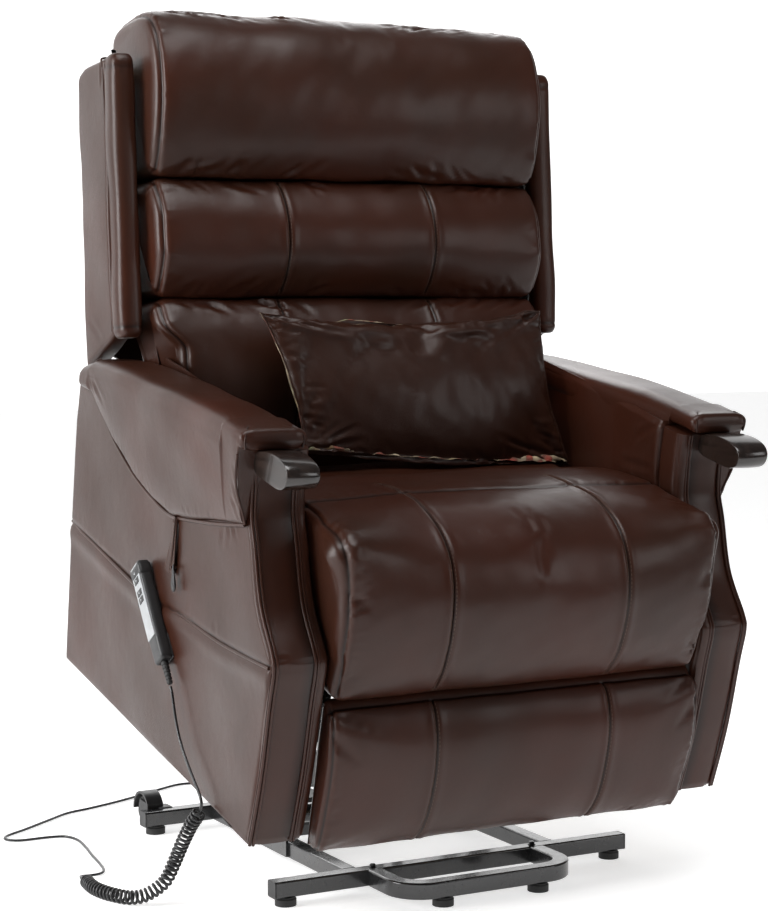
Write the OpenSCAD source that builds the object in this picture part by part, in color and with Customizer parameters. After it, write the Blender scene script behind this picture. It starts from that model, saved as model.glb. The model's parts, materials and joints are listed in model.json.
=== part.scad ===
// Lift recliner chair: a padded chair on a powered lift base.
// Millimetres. +X to the sitter's left, +Y to the rear, +Z up, floor at z = 0.

/* [Upper chair] */
// Width over the arm pads
chair_w = 852; // [840:4:900]
// Forward tilt of the upper chair as it stands
tilt = 13; // [11:0.5:14]
// Length of the side panels along their bottom edge
side_depth = 732; // [724:4:760]
// Height of the arm pad over the bottom of the side panel
arm_h = 567; // [560:1:590]
// Width of the gap between the side boxes
inner_w = 660; // [656:2:668]
// How far an arm pad stands out over its side panel
arm_overhang = 29; // [26:1:40]
// Thickness of the outer side panel with its padding
side_panel_t = 20; // [14:1:24]
// Thickness of the inner side panel
inner_panel_t = 15; // [10:1:18]
// Depth of the front posts, front to back
post_depth = 50; // [40:1:60]

// How far each front post is padded past the inner side of its box
post_pad = 20; // [16:1:20]
// Thickness of the padded drape outside each arm
drape_t = 5; // [4:0.5:8]

/* [Seat] */
// Gap between the seat cushion and each side box
seat_side = 22; // [21:1:28]
// Height of the seat crest over the bottom of the side panel
seat_h = 462; // [456:1:480]
// Height of the seat cushion's lower front edge
seat_lip_z = 214; // [213:1:218]
// How far the seat cushion is crowned in the middle
seat_crown = 16; // [8:1:18]
// Width of one webbing band under the seat
web_w = 60; // [40:2:80]

/* [Back] */
// Lean of the backrest when upright
back_lean = 17; // [15:0.5:19]
// Height of the backrest over its pivot
back_h = 836; // [820:2:860]
// Width of the back cushions
back_w = 700; // [680:2:704]
// Height of the seam between the lower and middle cushions
lower_seam = 383; // [375:1:392]
// Height of the seam between the middle and head cushions
upper_seam = 570; // [560:1:580]
// Gap between two back cushions
seam_gap = 1; // [0.6:0.2:3]
// Height of the top of the wings over the back pivot
wing_h = 763; // [740:1:775]
// Thickness of a wing panel
wing_t = 29; // [24:1:34]
// Width of the round roll along a wing's front edge
wing_roll_w = 41; // [36:1:44]

/* [Footrest] */
// Gap between the footrest pad and each side box
foot_side = 22; // [21:1:28]
// Height of the footrest pad
foot_pad_h = 215; // [206:1:217]
// Thickness of the footrest board
foot_board_t = 12; // [9:1:15]
// Length of each footrest link between its pivots
foot_link = 160; // [150:1:164]

/* [Lift base] */
// Length of the front and rear floor tubes
base_w = 614; // [590:2:640]
// Size of the square floor tubes
tube = 25; // [22:1:28]
// Wall of the square tubes
tube_wall = 2; // [1.5:0.25:3]
// Depth of the base, front tube face to rear tube back
base_depth = 515; // [505:1:525]
// Distance between the two side rails of the base, inside
rail_gap = 322; // [300:2:340]
// How far the front floor bar stands forward
bar_reach = 110; // [90:2:130]
// Width of the front floor bar
bar_w = 309; // [280:2:318]
// Bend radius of the front floor bar along its middle
bar_bend = 45; // [36:1:50]
// Height of the rubber feet
foot_h = 13; // [11:0.5:16]
// Diameter of the rubber feet
foot_d = 32; // [26:1:36]
// Diameter of the transport wheels
wheel_d = 52; // [46:1:56]
// Width of the transport wheels
wheel_w = 18; // [14:1:20]

/* [Lift arms] */
// Length of a lift arm between its pivots
arm_len = 341.3; // [336:0.1:346]
// Thickness of the flat bars of the lift
bar_t = 6; // [5:0.5:7]
// Width of a lift arm's bar
arm_bar_w = 36; // [32:1:40]
// Diameter of the torque tube that joins the lift arms
torque_d = 30; // [25:1:32]
// Diameter of the main lift pivots
pivot_d = 16; // [14:0.5:18]
// Diameter of the lighter link pivots
pin_d = 12; // [10:0.5:13]
// Radius of the crank that the lift actuator pushes
crank_r = 60; // [57:1:62]

/* [Arm grips] */
// Width of a wooden hand grip
grip_w = 52; // [44:1:56]
// Height of a wooden hand grip
grip_h = 44; // [38:1:48]
// How far a grip stands out from under the arm pad
grip_reach = 104; // [96:1:112]

/* [Pillow] */
// Width of the loose lumbar pillow
pillow_w = 504; // [460:2:510]
// Height of the loose lumbar pillow
pillow_h = 250; // [230:2:256]
// Thickness of the loose lumbar pillow
pillow_t = 112; // [90:2:114]

/* [Handset] */
// Length of the handset
handset_l = 164; // [150:1:170]
// Width of the handset
handset_w = 36; // [32:1:42]
// Thickness of the handset
handset_t = 20; // [17:0.5:21]
// Travel of a handset button
button_travel = 1.2; // [0.8:0.1:1.5]
// Diameter of the handset cord
cord_d = 4.4; // [4:0.1:4.8]
// Outer diameter of the curly part of the cord
curl_d = 22; // [20:0.5:24]
// Number of curls in the curly part
curls = 42; // [36:1:48]

/* [Hidden] */
fine = 48;
running = 0.05;
seat_gap = 0.3;

leather = [0.24, 0.13, 0.11];
dark_leather = [0.17, 0.09, 0.08];
steel_black = [0.06, 0.06, 0.065];
plastic_black = [0.09, 0.09, 0.1];
pine = [0.72, 0.58, 0.4];

// Plane geometry in (y, z): turn v by the angle a.
function turn(v, a) = [v[0] * cos(a) - v[1] * sin(a), v[0] * sin(a) + v[1] * cos(a)];

// Heights on the base.
base_top = foot_h + tube;
arm_foot = [230, base_top + 37];
link_foot = [270, base_top + 26];
motor_foot = [base_depth - 35, base_top + 47];

// The lift linkage as it stands. The chair hangs on the lift arms, and its place follows from them.
arm_angle = 50.1;
arm_head = [586, 80];
link_head = [650, 60];
chair_at = arm_foot + turn([arm_len, 0], arm_angle) - turn(arm_head, tilt);
link_run = chair_at + turn(link_head, tilt) - link_foot;
link_len = norm(link_run);
link_angle = atan2(link_run[1], link_run[0]);
link_play = 3;
crank_lead = 60;
crank_pin = arm_foot + turn([crank_r, 0], arm_angle + crank_lead);
ram_run = crank_pin - motor_foot;
ram_len = norm(ram_run);
ram_angle = atan2(ram_run[1], ram_run[0]);
ram_play = 10.8;

// Layers from the middle of the base outwards.
rail_in = rail_gap / 2;
rail_out = rail_in + tube;
mount_t = 4;
layer_gap = 1;
arm_x = rail_out + mount_t + layer_gap;
link_x = rail_out - layer_gap - bar_t;
hanger_x = arm_x + bar_t + 6;
hanger_t = 5;
torque_half = link_x + 4;
crank_x = 14;
eye_half = 11;

// The origin lies under the middle of the whole chair's depth.
base_y = -179.1;

// Upper chair, measured from the front lower corner of its side panels.
frame_z = 180;
frame_tube = 25;
frame_top = frame_z + frame_tube;
frame_half = inner_w / 2 - 9;
cross_half = frame_half - frame_tube;
cross_rail_y = [95, 190, 540, 690];
frame_front = 70;
frame_back = 715;
back_pivot = [640, 225];
box_in = inner_w / 2;
panel_out = chair_w / 2 - arm_overhang;
panel_in = panel_out - side_panel_t;
post_in = box_in - post_pad;
post_out = panel_out + 3;
pad_in = box_in - 6;
pad_out = chair_w / 2;
pad_z = arm_h - 70;

module in_base() translate([0, base_y, 0]) children();
module in_chair() in_base() translate([0, chair_at[0], chair_at[1]]) rotate([tilt, 0, 0]) children();
module in_back() in_chair() translate([0, back_pivot[0], back_pivot[1]]) rotate([-back_lean, 0, 0])
    children();
module side(s) mirror([s < 0 ? 1 : 0, 0, 0]) children();
module both() for (s = [1, -1]) side(s) children();

// A plate in the YZ plane from x, t thick towards +X. Children are drawn with (y, z) as (x, y).
module plate(x, t) translate([x, 0, 0]) rotate([90, 0, 90]) linear_extrude(t) children();

// A round pin along X.
module pin(x0, x1, at, d) translate([x0, at[0], at[1]]) rotate([0, 90, 0])
    cylinder(h = x1 - x0, d = d, $fn = fine);

module round_square(w, h, r) {
    translate([r, 0]) square([w - 2 * r, h]);
    translate([0, r]) square([w, h - 2 * r]);
    for (x = [r, w - r], y = [r, h - r]) translate([x, y]) circle(r, $fn = 32);
}

module tube_section() difference() {
    round_square(tube, tube, 3);
    translate([tube_wall, tube_wall]) round_square(tube - 2 * tube_wall, tube - 2 * tube_wall, 1);
}

module tube_x(half, y) translate([-half, y, foot_h]) rotate([90, 0, 90]) linear_extrude(2 * half)
    tube_section();
module tube_y(x, y0, y1) translate([x, y1, foot_h]) rotate([90, 0, 0]) linear_extrude(y1 - y0) tube_section();

// A flat bar with an eye at each end, from the origin along +Y, with its near face at x.
module eye_bar(x, len, w, near_hole, far_hole, t = bar_t) plate(x, t) difference() {
    union() {
        circle(d = w + 2, $fn = fine);
        translate([len, 0]) circle(d = w + 2, $fn = fine);
        translate([0, -w / 2]) square([len, w]);
    }
    if (near_hole > 0) circle(d = near_hole, $fn = fine);
    if (far_hole > 0) translate([len, 0]) circle(d = far_hole, $fn = fine);
}

// Smooth closed curve through a few points, for padded outlines.
function bend(a, b, c, d, t) = 0.5 * (2 * b + (c - a) * t + (2 * a - 5 * b + 4 * c - d) * t * t
    + (3 * b - a - 3 * c + d) * t * t * t);
// The third value of each point is its share of the crown, and a stretch between two points without any is
// straight.
function outline(p, steps) = let (n = len(p)) [for (i = [0:n - 1])
    let (straight = p[i][2] == 0 && p[(i + 1) % n][2] == 0) for (k = [0:straight ? 0 : steps - 1])
    bend(p[(i + n - 1) % n], p[i], p[(i + 1) % n], p[(i + 2) % n], k / steps)];
function unit(v) = v / max(norm(v), 0.001);
// The outward way at each point of a clockwise outline of [y, z, crown share].
function outward(p, i) = let (n = len(p), d = p[(i + 1) % n] - p[(i + n - 1) % n]) unit([-d[1], d[0]]);

// One skin through rows of points, closed at both ends round the point numbered hub.
module skin(rows, hub = 0) {
    n = len(rows[0]);
    m = len(rows);
    fan = [for (k = [1:n - 2]) [hub, (hub + k) % n, (hub + k + 1) % n]];
    walls = [for (i = [0:m - 2], j = [0:n - 1]) let (a = i * n + j, b = i * n + (j + 1) % n)
        each [[a, a + n, b], [b, a + n, b + n]]];
    far = [for (f = fan) [f[0] + (m - 1) * n, f[2] + (m - 1) * n, f[1] + (m - 1) * n]];
    polyhedron([for (r = rows) each r], concat(fan, walls, far), convexity = 8);
}

// How far a padded side draws in at x, from nothing to edge over the last edge of its half width.
function draw_in(x, half, edge) = let (u = max(0, abs(x) - half + edge) / edge)
    edge * (1 - sqrt(max(0, 1 - u * u)));
pad_steps = [-1, -0.92, -0.7, -0.38, 0];
function ease(t) = let (u = min(1, max(0, t))) u * u * (3 - 2 * u);

// A pad along X: an outline in (y, z) whose third value is its share of the crown.
// With flare = [z0, z1, k] its width grows by the factor k from z0 to z1, and its ends are closed round
// the hub.
module pad(p, half, edge, crown, flare = [0, 1, 1], hub = 0) {
    ring = outline(p, 2);
    left = [for (u = pad_steps) -half + edge + u * edge];
    middle = [-0.55, 0, 0.55] * (half - edge);
    xs = concat(left, middle, [for (i = [len(left) - 1:-1:0]) -left[i]]);
    skin([for (x = xs) let (r = 1 - pow(x / half, 2), e = 0.82 * draw_in(x, half, edge))
        [for (i = [0:len(ring) - 1]) let (g = (crown * ring[i][2] * r - e) * outward(ring, i),
            wide = 1 + (flare[2] - 1) * ease((ring[i][1] - flare[0]) / (flare[1] - flare[0])))
            [-x * wide, ring[i][0] + g[0], ring[i][1] + g[1]]]], (len(ring) + hub) % len(ring));
}

// A round-cornered ring from a0 to a1 and b0 to b1, whose corners grow squarer with the power.
function soft_ring(a0, a1, b0, b1, n, power) = [for (i = [0:n - 1]) let (t = -360 * i / n + 180 / n)
    [(a0 + a1) / 2 + (a1 - a0) / 2 * sign(cos(t)) * pow(abs(cos(t)), 2 / power),
     (b0 + b1) / 2 + (b1 - b0) / 2 * sign(sin(t)) * pow(abs(sin(t)), 2 / power)]];

// ---- Floor base ----
cap_t = 3;

module front_tube() color(steel_black) in_base() tube_x(base_w / 2 - cap_t, 0);

module rear_tube() color(steel_black) in_base() tube_x(base_w / 2 - cap_t, base_depth - tube);

middle_y = 320;
module base_rails() color(steel_black) in_base() {
    both() tube_y(rail_in, tube, base_depth - tube);
    tube_x(rail_in, middle_y);
}

module front_bar() color(steel_black) in_base() {
    x = bar_w / 2 - tube / 2;
    y = -bar_reach + tube / 2;
    both() {
        tube_y(x - tube / 2, y + bar_bend, 0);
        translate([x - bar_bend, y + bar_bend, foot_h]) rotate([0, 0, -90])
            rotate_extrude(angle = 90, $fn = 64) translate([bar_bend - tube / 2, 0]) tube_section();
    }
    tube_x(x - bar_bend, -bar_reach);
}

module tube_end_caps() color(plastic_black) in_base() both() for (y = [0, base_depth - tube])
    translate([base_w / 2 - cap_t, y, foot_h]) rotate([90, 0, 90]) {
        linear_extrude(cap_t) round_square(tube, tube, 3);
        translate([tube_wall, tube_wall, -12]) linear_extrude(12)
            round_square(tube - 2 * tube_wall, tube - 2 * tube_wall, 1);
    }

bar_foot_x = 82;
module rubber_feet() color([0.05, 0.05, 0.05]) in_base() both() {
    x = base_w / 2 - 23;
    for (at = [[x, tube / 2], [x, base_depth - tube / 2], [bar_foot_x, -bar_reach + tube / 2]])
        translate([at[0], at[1], 0]) {
            cylinder(h = foot_h, d = foot_d - 4, $fn = fine);
            cylinder(h = foot_h - 3, d = foot_d, $fn = fine);
        }
}

module lift_mounts() color(steel_black) in_base() {
    a = arm_foot;
    b = link_foot;
    both() plate(rail_out, mount_t) difference() {
        polygon([[a[0] - 26, foot_h + 2], [b[0] + 26, foot_h + 2], [b[0] + 26, b[1] - 2],
            [b[0] + 12, b[1] + 18],
            [a[0] + 14, a[1] + 20], [a[0] - 14, a[1] + 20], [a[0] - 26, a[1] + 4]]);
        translate(a) circle(d = pivot_d + 2 * running, $fn = fine);
        translate(b) circle(d = pin_d, $fn = fine);
    }
    m = motor_foot;
    both() plate(22, bar_t) difference() {
        union() {
            translate(m) circle(r = 15, $fn = fine);
            polygon([[base_depth - 2, base_top], [base_depth - 2, m[1] - 20], [m[0], m[1] + 14.5],
                [m[0] - 13, m[1] - 6], [base_depth - tube + 2, base_top]]);
        }
        translate(m) circle(d = pin_d, $fn = fine);
    }
}

module base_pins() color([0.6, 0.6, 0.62]) in_base() {
    both() {
        pin(link_x - 1.2, rail_out + mount_t + 0.4, link_foot, pin_d);
        pin(link_x - 4.2, link_x - 1.2, link_foot, pin_d + 8);
    }
    pin(-30, 30, motor_foot, pin_d);
}

wheel_at = [base_depth + wheel_d / 2 + 3, wheel_d / 2 + 3];
wheel_x = base_w / 2 - 28;
axle_d = 8;
module wheel_brackets() color(plastic_black) in_base() both() {
    cheek = 4;
    for (x = [wheel_x - wheel_w / 2 - 1 - cheek, wheel_x + wheel_w / 2 + 1]) plate(x, cheek) union() {
        translate(wheel_at) circle(r = 11, $fn = fine);
        polygon([[base_depth, foot_h], [base_depth, base_top + 8], [wheel_at[0] + 4, wheel_at[1] + 20],
            [wheel_at[0] + 11, wheel_at[1]], [wheel_at[0], wheel_at[1] - 10.5]]);
    }
    pin(wheel_x - wheel_w / 2 - 3, wheel_x + wheel_w / 2 + 3, wheel_at, axle_d);
    plate(wheel_x - wheel_w / 2 - 1 - cheek, wheel_w + 2 + 2 * cheek) intersection() {
        translate(wheel_at) difference() {
            circle(r = wheel_d / 2 + 7, $fn = 64);
            circle(r = wheel_d / 2 + 3, $fn = 64);
        }
        translate([base_depth, wheel_at[1]]) square(wheel_d + 20);
    }
}

module wheel() color([0.13, 0.13, 0.14]) in_base() translate([wheel_x, wheel_at[0], wheel_at[1]])
    rotate([0, 90, 0])
    rotate_extrude($fn = 64) {
        r = wheel_d / 2;
        h = wheel_w / 2;
        b = axle_d / 2 + running;
        polygon([[b, -h], [10, -h], [12, -h + 4], [r - 8, -h + 4], [r - 6, -h + 1], [r - 2, -h + 1],
            [r, -h + 4],
            [r, h - 4], [r - 2, h - 1], [r - 6, h - 1], [r - 8, h - 4], [12, h - 4], [10, h], [b, h]]);
    }
module wheel_left() wheel();
module wheel_right() side(-1) wheel();

box_x = -rail_in + 12;
box_w = 80;
box_y = 292;
box_l = 106;
box_h = 44;
gland_y = 16;
module control_box() color(plastic_black) in_base() translate([box_x, box_y, base_top]) {
    translate([0, box_l, 0]) rotate([90, 0, 0]) linear_extrude(box_l) round_square(box_w, box_h, 5);
    for (x = [24, 56]) translate([x, box_l, 20]) rotate([-90, 0, 0]) {
        cylinder(h = 5, d = 14, $fn = fine);
        cylinder(h = gland_y, d1 = 11, d2 = 7, $fn = fine);
    }
}

// ---- Lift linkage ----
module lift_arms() color(steel_black) in_base() {
    both() {
        translate([0, arm_foot[0], arm_foot[1]]) rotate([arm_angle, 0, 0])
            eye_bar(arm_x, arm_len, arm_bar_w, 0, pivot_d + 2 * running);
        pin(torque_half - 2, arm_x + bar_t, arm_foot, pivot_d);
        translate([0, arm_foot[0], arm_foot[1]]) rotate([arm_angle + crank_lead, 0, 0])
            eye_bar(crank_x, crank_r, 24, 0, 0);
    }
    pin(-torque_half, torque_half, arm_foot, torque_d);
    pin(-crank_x, crank_x, crank_pin, pin_d);
}

module rear_links() color(steel_black) in_base() both()
    translate([0, link_foot[0], link_foot[1]]) rotate([link_angle, 0, 0])
        eye_bar(link_x, link_len, 26, pin_d + 2 * running, pin_d + 2 * link_play);

module ram_at() in_base() translate([0, motor_foot[0], motor_foot[1]]) rotate([ram_angle, 0, 0]) children();

// A round rod or tube along +Y of the actuator, from y0 to y1.
module along(y0, y1, d) translate([0, y1, 0]) rotate([90, 0, 0]) cylinder(h = y1 - y0, d = d, $fn = fine);

ram_tube_end = 205;
rod_d = 20;
module ram_body(tube_end) {
    difference() {
        union() {
            pin(-20, 20, [0, 0], 30);
            translate([-20, 0, -12]) cube([40, 26, 24]);
        }
        pin(-21, 21, [0, 0], pin_d + 2 * running);
    }
    difference() {
        union() {
            translate([-27, 24, -30]) cube([54, 52, 60]);
            along(70, tube_end, 34);
        }
        along(62, tube_end + 1, rod_d + 2);
    }
    pin(27, 112, [50, 6], 44);
}
module lift_motor() color(plastic_black) ram_at() ram_body(ram_tube_end);

module rod_eye(end, hole) {
    difference() {
        pin(-eye_half, eye_half, [end, 0], hole + 14);
        pin(-eye_half - 1, eye_half + 1, [end, 0], hole);
    }
}
module lift_rod() color([0.7, 0.7, 0.72]) ram_at() {
    hole = pin_d + 2 * ram_play;
    rod_eye(ram_len, hole);
    along(ram_len - 152, ram_len - hole / 2 - 2, rod_d);
}

// ---- Steel frame of the upper chair ----
module square_bar(x0, x1, y0, y1) translate([x0, y0, frame_z]) cube([x1 - x0, y1 - y0, frame_tube]);

module chair_rails() color(steel_black) in_chair() both() {
    square_bar(cross_half, frame_half, frame_front, frame_back);
    plate(cross_half + 7, bar_t) union() {
        translate(back_pivot) circle(r = lug_r, $fn = fine);
        translate([back_pivot[0] - lug_r + 1, frame_top]) square([2 * lug_r - 2, back_pivot[1] - frame_top]);
    }
    pin(cross_half - 6, cross_half + 8, back_pivot, pivot_d);
}

module cross_rails() color(steel_black) in_chair() for (y = cross_rail_y)
    square_bar(-cross_half, cross_half, y, y + frame_tube);

foot_pivot = [68, 188];
foot_stow = 84;
foot_layer = cross_half - 34;
foot_w = inner_w - 2 * foot_side;
back_motor_foot = [cross_rail_y[1] + 25, 152.3];
module chair_brackets() color(steel_black) in_chair() {
    h = arm_head;
    l = link_head;
    both() {
        plate(hanger_x, hanger_t) polygon([[cross_rail_y[2], frame_z], [frame_back, frame_z],
            [frame_back, 130],
            [l[0] + 20, l[1] - 16], [h[0] - 20, h[1] - 22], [cross_rail_y[2], 130]]);
        pin(arm_x - 0.3, hanger_x + 2, h, pivot_d);
        pin(link_x - 1, hanger_x + 2, l, pin_d);
        plate(foot_layer + bar_t + 2, 5) polygon([[foot_pivot[0] - 12, foot_pivot[1] - 12],
            [cross_rail_y[0], frame_z], [cross_rail_y[0], frame_top],
            [foot_pivot[0] - 2, foot_pivot[1] + 12], [foot_pivot[0] - 12, foot_pivot[1] + 6]]);
        pin(foot_layer, foot_layer + bar_t + 4, foot_pivot, pin_d);
        plate(22, 5) union() {
            translate(back_motor_foot) circle(r = 14, $fn = fine);
            translate([back_motor_foot[0] - 13, back_motor_foot[1]])
                square([22, frame_z - back_motor_foot[1]]);
        }
    }
    pin(-28, 28, back_motor_foot, pin_d);
}

seat_board_t = 18;
seat_base = 290;
web_t = 3;
seat_front_y = 62;
seat_rear_y = 540;
web_pitch = 110;
module seat_frame() color(pine) in_chair() {
    for (y = [seat_front_y, seat_rear_y]) translate([-cross_half, y, frame_top])
        cube([2 * cross_half, seat_board_t, seat_base - frame_top]);
    both() translate([cross_half, seat_front_y + 10, frame_top])
        cube([seat_board_t, seat_rear_y + seat_board_t - seat_front_y - 10, seat_base - frame_top]);
}

module seat_webbing() color([0.2, 0.19, 0.18]) in_chair() for (k = [-2:2])
    translate([k * web_pitch - web_w / 2, seat_front_y, seat_base])
        cube([web_w, seat_rear_y + seat_board_t - seat_front_y, web_t]);

// Outline of the seat cushion from its inner corner, clockwise, with the crown's share of each point.
module seat_cushion() color(leather) in_chair() {
    z = seat_base + web_t + seat_gap;
    h = seat_h;
    low = seat_lip_z;
    pad([[60, z, 0], [57, low + 8, 0], [40, low, 0], [-12, low + 1, 0], [-28, low + 9, 0.15],
        [-38, low + 40, 0.7],
        [-46, low + 100, 1], [-44, h - 100, 1], [-30, h - 46, 0.9], [2, h - 19, 0.5], [60, h - 8, 0.3],
        [118, h - 4, 0.25], [200, h - 10, 0.25], [290, h - 28, 0.2], [380, h - 54, 0], [470, h - 64, 0],
        [494, h - 84, 0], [496, z + 30, 0], [484, z, 0], [240, z, 0]],
        inner_w / 2 - seat_side, 26, seat_crown);
}

// ---- Side boxes ----
// Front edge of a post, from the floor end upwards: down to the knee, then back up to the arm.
post_front = [[0, 0], [-14, 104], [-18, 214], [-21, 266], [-11, 288], [38, 341], [73, 414], [91, 450],
    [98, pad_z]];
box_front = [for (p = post_front) [p[0] + post_depth, p[1]]];
box_rear = [[side_depth + 27, pad_z - 42], [side_depth + 29, pad_z - 100], [side_depth + 18, 226],
    [side_depth, -9]];
box_step = [[540, pad_z], [640, pad_z - 30], [702, pad_z - 30]];
panel_drop = 0.5;

module under_pad() intersection() {
    children();
    translate([-100, -20]) square([side_depth + 200, pad_z + 20 - panel_drop]);
}
module box_outline(rear) under_pad() polygon(concat(box_front, box_step, rear));

frame_board = 20;
module side_frames() color(pine) in_chair() both() {
    x0 = box_in + inner_panel_t;
    x1 = panel_in;
    translate([x0, 60, 8]) cube([x1 - x0, side_depth - 100, 40]);
    translate([x0, 160, pad_z - 62]) cube([x1 - x0, 370, 40]);
    translate([x0, 160, 48]) cube([x1 - x0, frame_board, pad_z - 110]);
    translate([x0, 530 - frame_board, 48]) cube([x1 - x0, frame_board, pad_z - 110]);
    translate([frame_half, 120, frame_z]) cube([box_in - frame_half, 500, frame_tube]);
}

module side_panel() color(leather) in_chair() plate(panel_in, side_panel_t) box_outline(box_rear);
module side_panel_left() side_panel();
module side_panel_right() side(-1) side_panel();

inner_rear = [[702, 20], [50, 10]];
module inner_panel() color(leather) in_chair() plate(box_in, inner_panel_t)
    intersection() {
        box_outline(inner_rear);
        translate([0, 10]) square([700, pad_z]);
    }
module inner_panel_left() inner_panel();
module inner_panel_right() side(-1) inner_panel();

// The front of an arm pad rests on the top of its post, which stands higher than the side panels.
pad_front = arm_h - 24;
post_top = pad_front - panel_drop;
module front_post() color(leather) in_chair() plate(post_in, post_out - post_in)
    polygon(concat(post_front, [[99, post_top], [99 + post_depth, post_top]],
        [for (i = [len(box_front) - 1:-1:0]) box_front[i]]));
module front_post_left() front_post();
module front_post_right() side(-1) front_post();

// Arm pad: rows of [y, bottom, top] from front to rear.
pad_rows = [[86, pad_front + 8, arm_h], [87.5, pad_front + 3, arm_h + 5], [92, pad_front, arm_h + 8],
    [99 + post_depth, pad_front, arm_h + 9], [101.5 + post_depth, pad_z, arm_h + 9], [250, pad_z, arm_h + 4],
    [375, pad_z, arm_h - 7], [541, pad_z, arm_h - 25], [600, pad_z - 14, arm_h - 31],
    [652, pad_z - 28, arm_h - 40], [684, pad_z - 29, arm_h - 58], [698, pad_z - 24, arm_h - 76]];
module arm_pad() color(leather) in_chair() skin([for (r = pad_rows)
    let (in = r[0] < 90 ? (90 - r[0]) * 2 : r[0] > 690 ? 8 : 0)
    [for (q = soft_ring(pad_in + in, pad_out - in, r[1], r[2], 16, 3.6)) [q[0], r[0], q[1]]]]);
module arm_pad_left() arm_pad();
module arm_pad_right() side(-1) arm_pad();

// Lower edge of the drape on the outer side: [y, z].
drape_edge = [[100, pad_z - 59], [98.5 + post_depth, pad_z - 74], [101.5 + post_depth, pad_z - 75],
    [178, pad_z - 84],
    [262, pad_z - 107], [343, pad_z - 126], [410, pad_z - 124], [493, pad_z - 111], [582, pad_z - 82],
    [640, pad_z - 50], [656, pad_z - 38]];
module arm_drape() color(leather) in_chair() {
    skin([for (p = drape_edge) let (y = p[0], low = p[1], top = y < 540 ? pad_z - 1 : pad_z - 1 - (min(y,
        640) - 540) * 0.3,
        mid = (low + top) / 2, x = y < 99 + post_depth ? post_out + 0.5 : panel_out, out = pad_out - x - 6)
        [[x, y, low], [x, y, top], [x + out, y, top], [x + 0.62 * out + 2, y, mid + 8],
            [x + drape_t + 1, y, low + 6],
         [x + drape_t, y, low]]], 1);
}
module arm_drape_left() arm_drape();
module arm_drape_right() side(-1) arm_drape();

grip_z = pad_front - 31;
grip_y = 98;
grip_x = post_out - 27.5;
module hand_grip() color([0.08, 0.05, 0.04]) in_chair() translate([grip_x, grip_y, grip_z]) {
    r = grip_reach;
    h = grip_h;
    pad([[0, 1, 0], [-0.35 * r, 0, 0.6], [-0.7 * r, -0.5, 1], [-0.94 * r, 0.04 * h, 1], [-r, 0.25 * h, 1],
        [-r, 0.55 * h, 1], [-0.95 * r, 0.8 * h, 1], [-0.82 * r, 0.95 * h, 1], [-0.6 * r, h, 1],
        [-0.35 * r, 0.9 * h, 0.6], [-0.15 * r, 0.72 * h, 0.3], [0, 0.62 * h, 0]], grip_w / 2, 4, 2);
}
module hand_grip_left() hand_grip();
module hand_grip_right() side(-1) hand_grip();

// ---- Backrest ----
back_board = 25;
// Heights of the rails between the stiles, and of those that reach out to the wings.
back_rail_z = [140, 350, 560, wing_h - back_board];
wing_rail_z = [330, 545, wing_h - back_board];
stile_x = cross_half - 21;
lever_r = 75;
lever_lead = 20;
back_play = 3;
wing_out = panel_out + 4;
wing_in = wing_out - wing_t;
frame_face = -45;
lug_r = 20;
lever_angle = -90 + lever_lead + back_lean;
lever_pin = turn([lever_r, 0], lever_angle);
back_reach = back_pivot[0] + lever_r * sin(lever_lead) - back_motor_foot[0];

module back_frame() color(pine) in_back() {
    both() {
        translate([stile_x, frame_face, 6]) cube([back_board, back_board, wing_h - 6]);
        plate(cross_half - 2 - bar_t, bar_t) difference() {
            union() {
                circle(r = 17, $fn = fine);
                polygon([[frame_face, 10], [frame_face, 70], [frame_face + back_board, 70],
                    [frame_face + back_board, 24], [12, 12], [0, -10], [-16, -6]]);
            }
            circle(d = pivot_d + 2 * running, $fn = fine);
        }
        for (z = wing_rail_z) translate([stile_x + back_board, frame_face, z])
            cube([wing_in - stile_x - back_board, back_board, back_board]);
        rotate([lever_angle, 0, 0]) eye_bar(crank_x, lever_r, 24, 0, 0);
    }
    pin(-cross_half + 7.5, cross_half - 7.5, [0, 0], 24);
    pin(-crank_x, crank_x, lever_pin, pin_d);
    for (z = back_rail_z) translate([-stile_x, frame_face, z])
        cube([2 * stile_x, back_board, back_board]);
}

module back_actuator() in_chair() translate([0, back_motor_foot[0], back_motor_foot[1]]) children();
module back_motor() color(plastic_black) back_actuator() ram_body(back_reach - 70);
module back_rod() color([0.7, 0.7, 0.72]) back_actuator() {
    hole = pin_d + 2 * back_play;
    rod_eye(back_reach, hole);
    along(back_reach - 190, back_reach - hole / 2 - 2, rod_d);
}

back_shell = 14;
module half_back() polygon([[-1, lug_r + 6], [inner_w / 2 - 8, lug_r + 6], [inner_w / 2 - 8, 281],
    [wing_in - 4, 300], [wing_in - 4, wing_h - 30], [wing_in - 24, wing_h], [-1, wing_h]]);
module outer_back() color(dark_leather) in_back() translate([0, frame_face + back_board + back_shell, 0])
    rotate([90, 0, 0])
    linear_extrude(back_shell) both() half_back();

back_face = frame_face - 0.3;
low_w = inner_w - 24;
back_crown = 14;
back_edge = 30;

// The lower back cushion is narrow between the arms and full width over them, and widens between these
// heights.
flare_low = 305;
flare_top = 348;
module lower_cushion() color(leather) in_back() {
    t = lower_seam - seam_gap / 2;
    pad([[back_face, 140, 0], [-150, 140, 0], [-166, 152, 0.5], [-180, 200, 0.9], [-192, 262, 1],
        [-190, 320, 1],
        [-172, t - 22, 0.6], [-146, t, 0], [back_face, t, 0], [back_face, flare_top, 0],
            [back_face, flare_low, 0]],
        low_w / 2, back_edge, back_crown, [flare_low, flare_top, back_w / low_w], -1);
}

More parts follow.
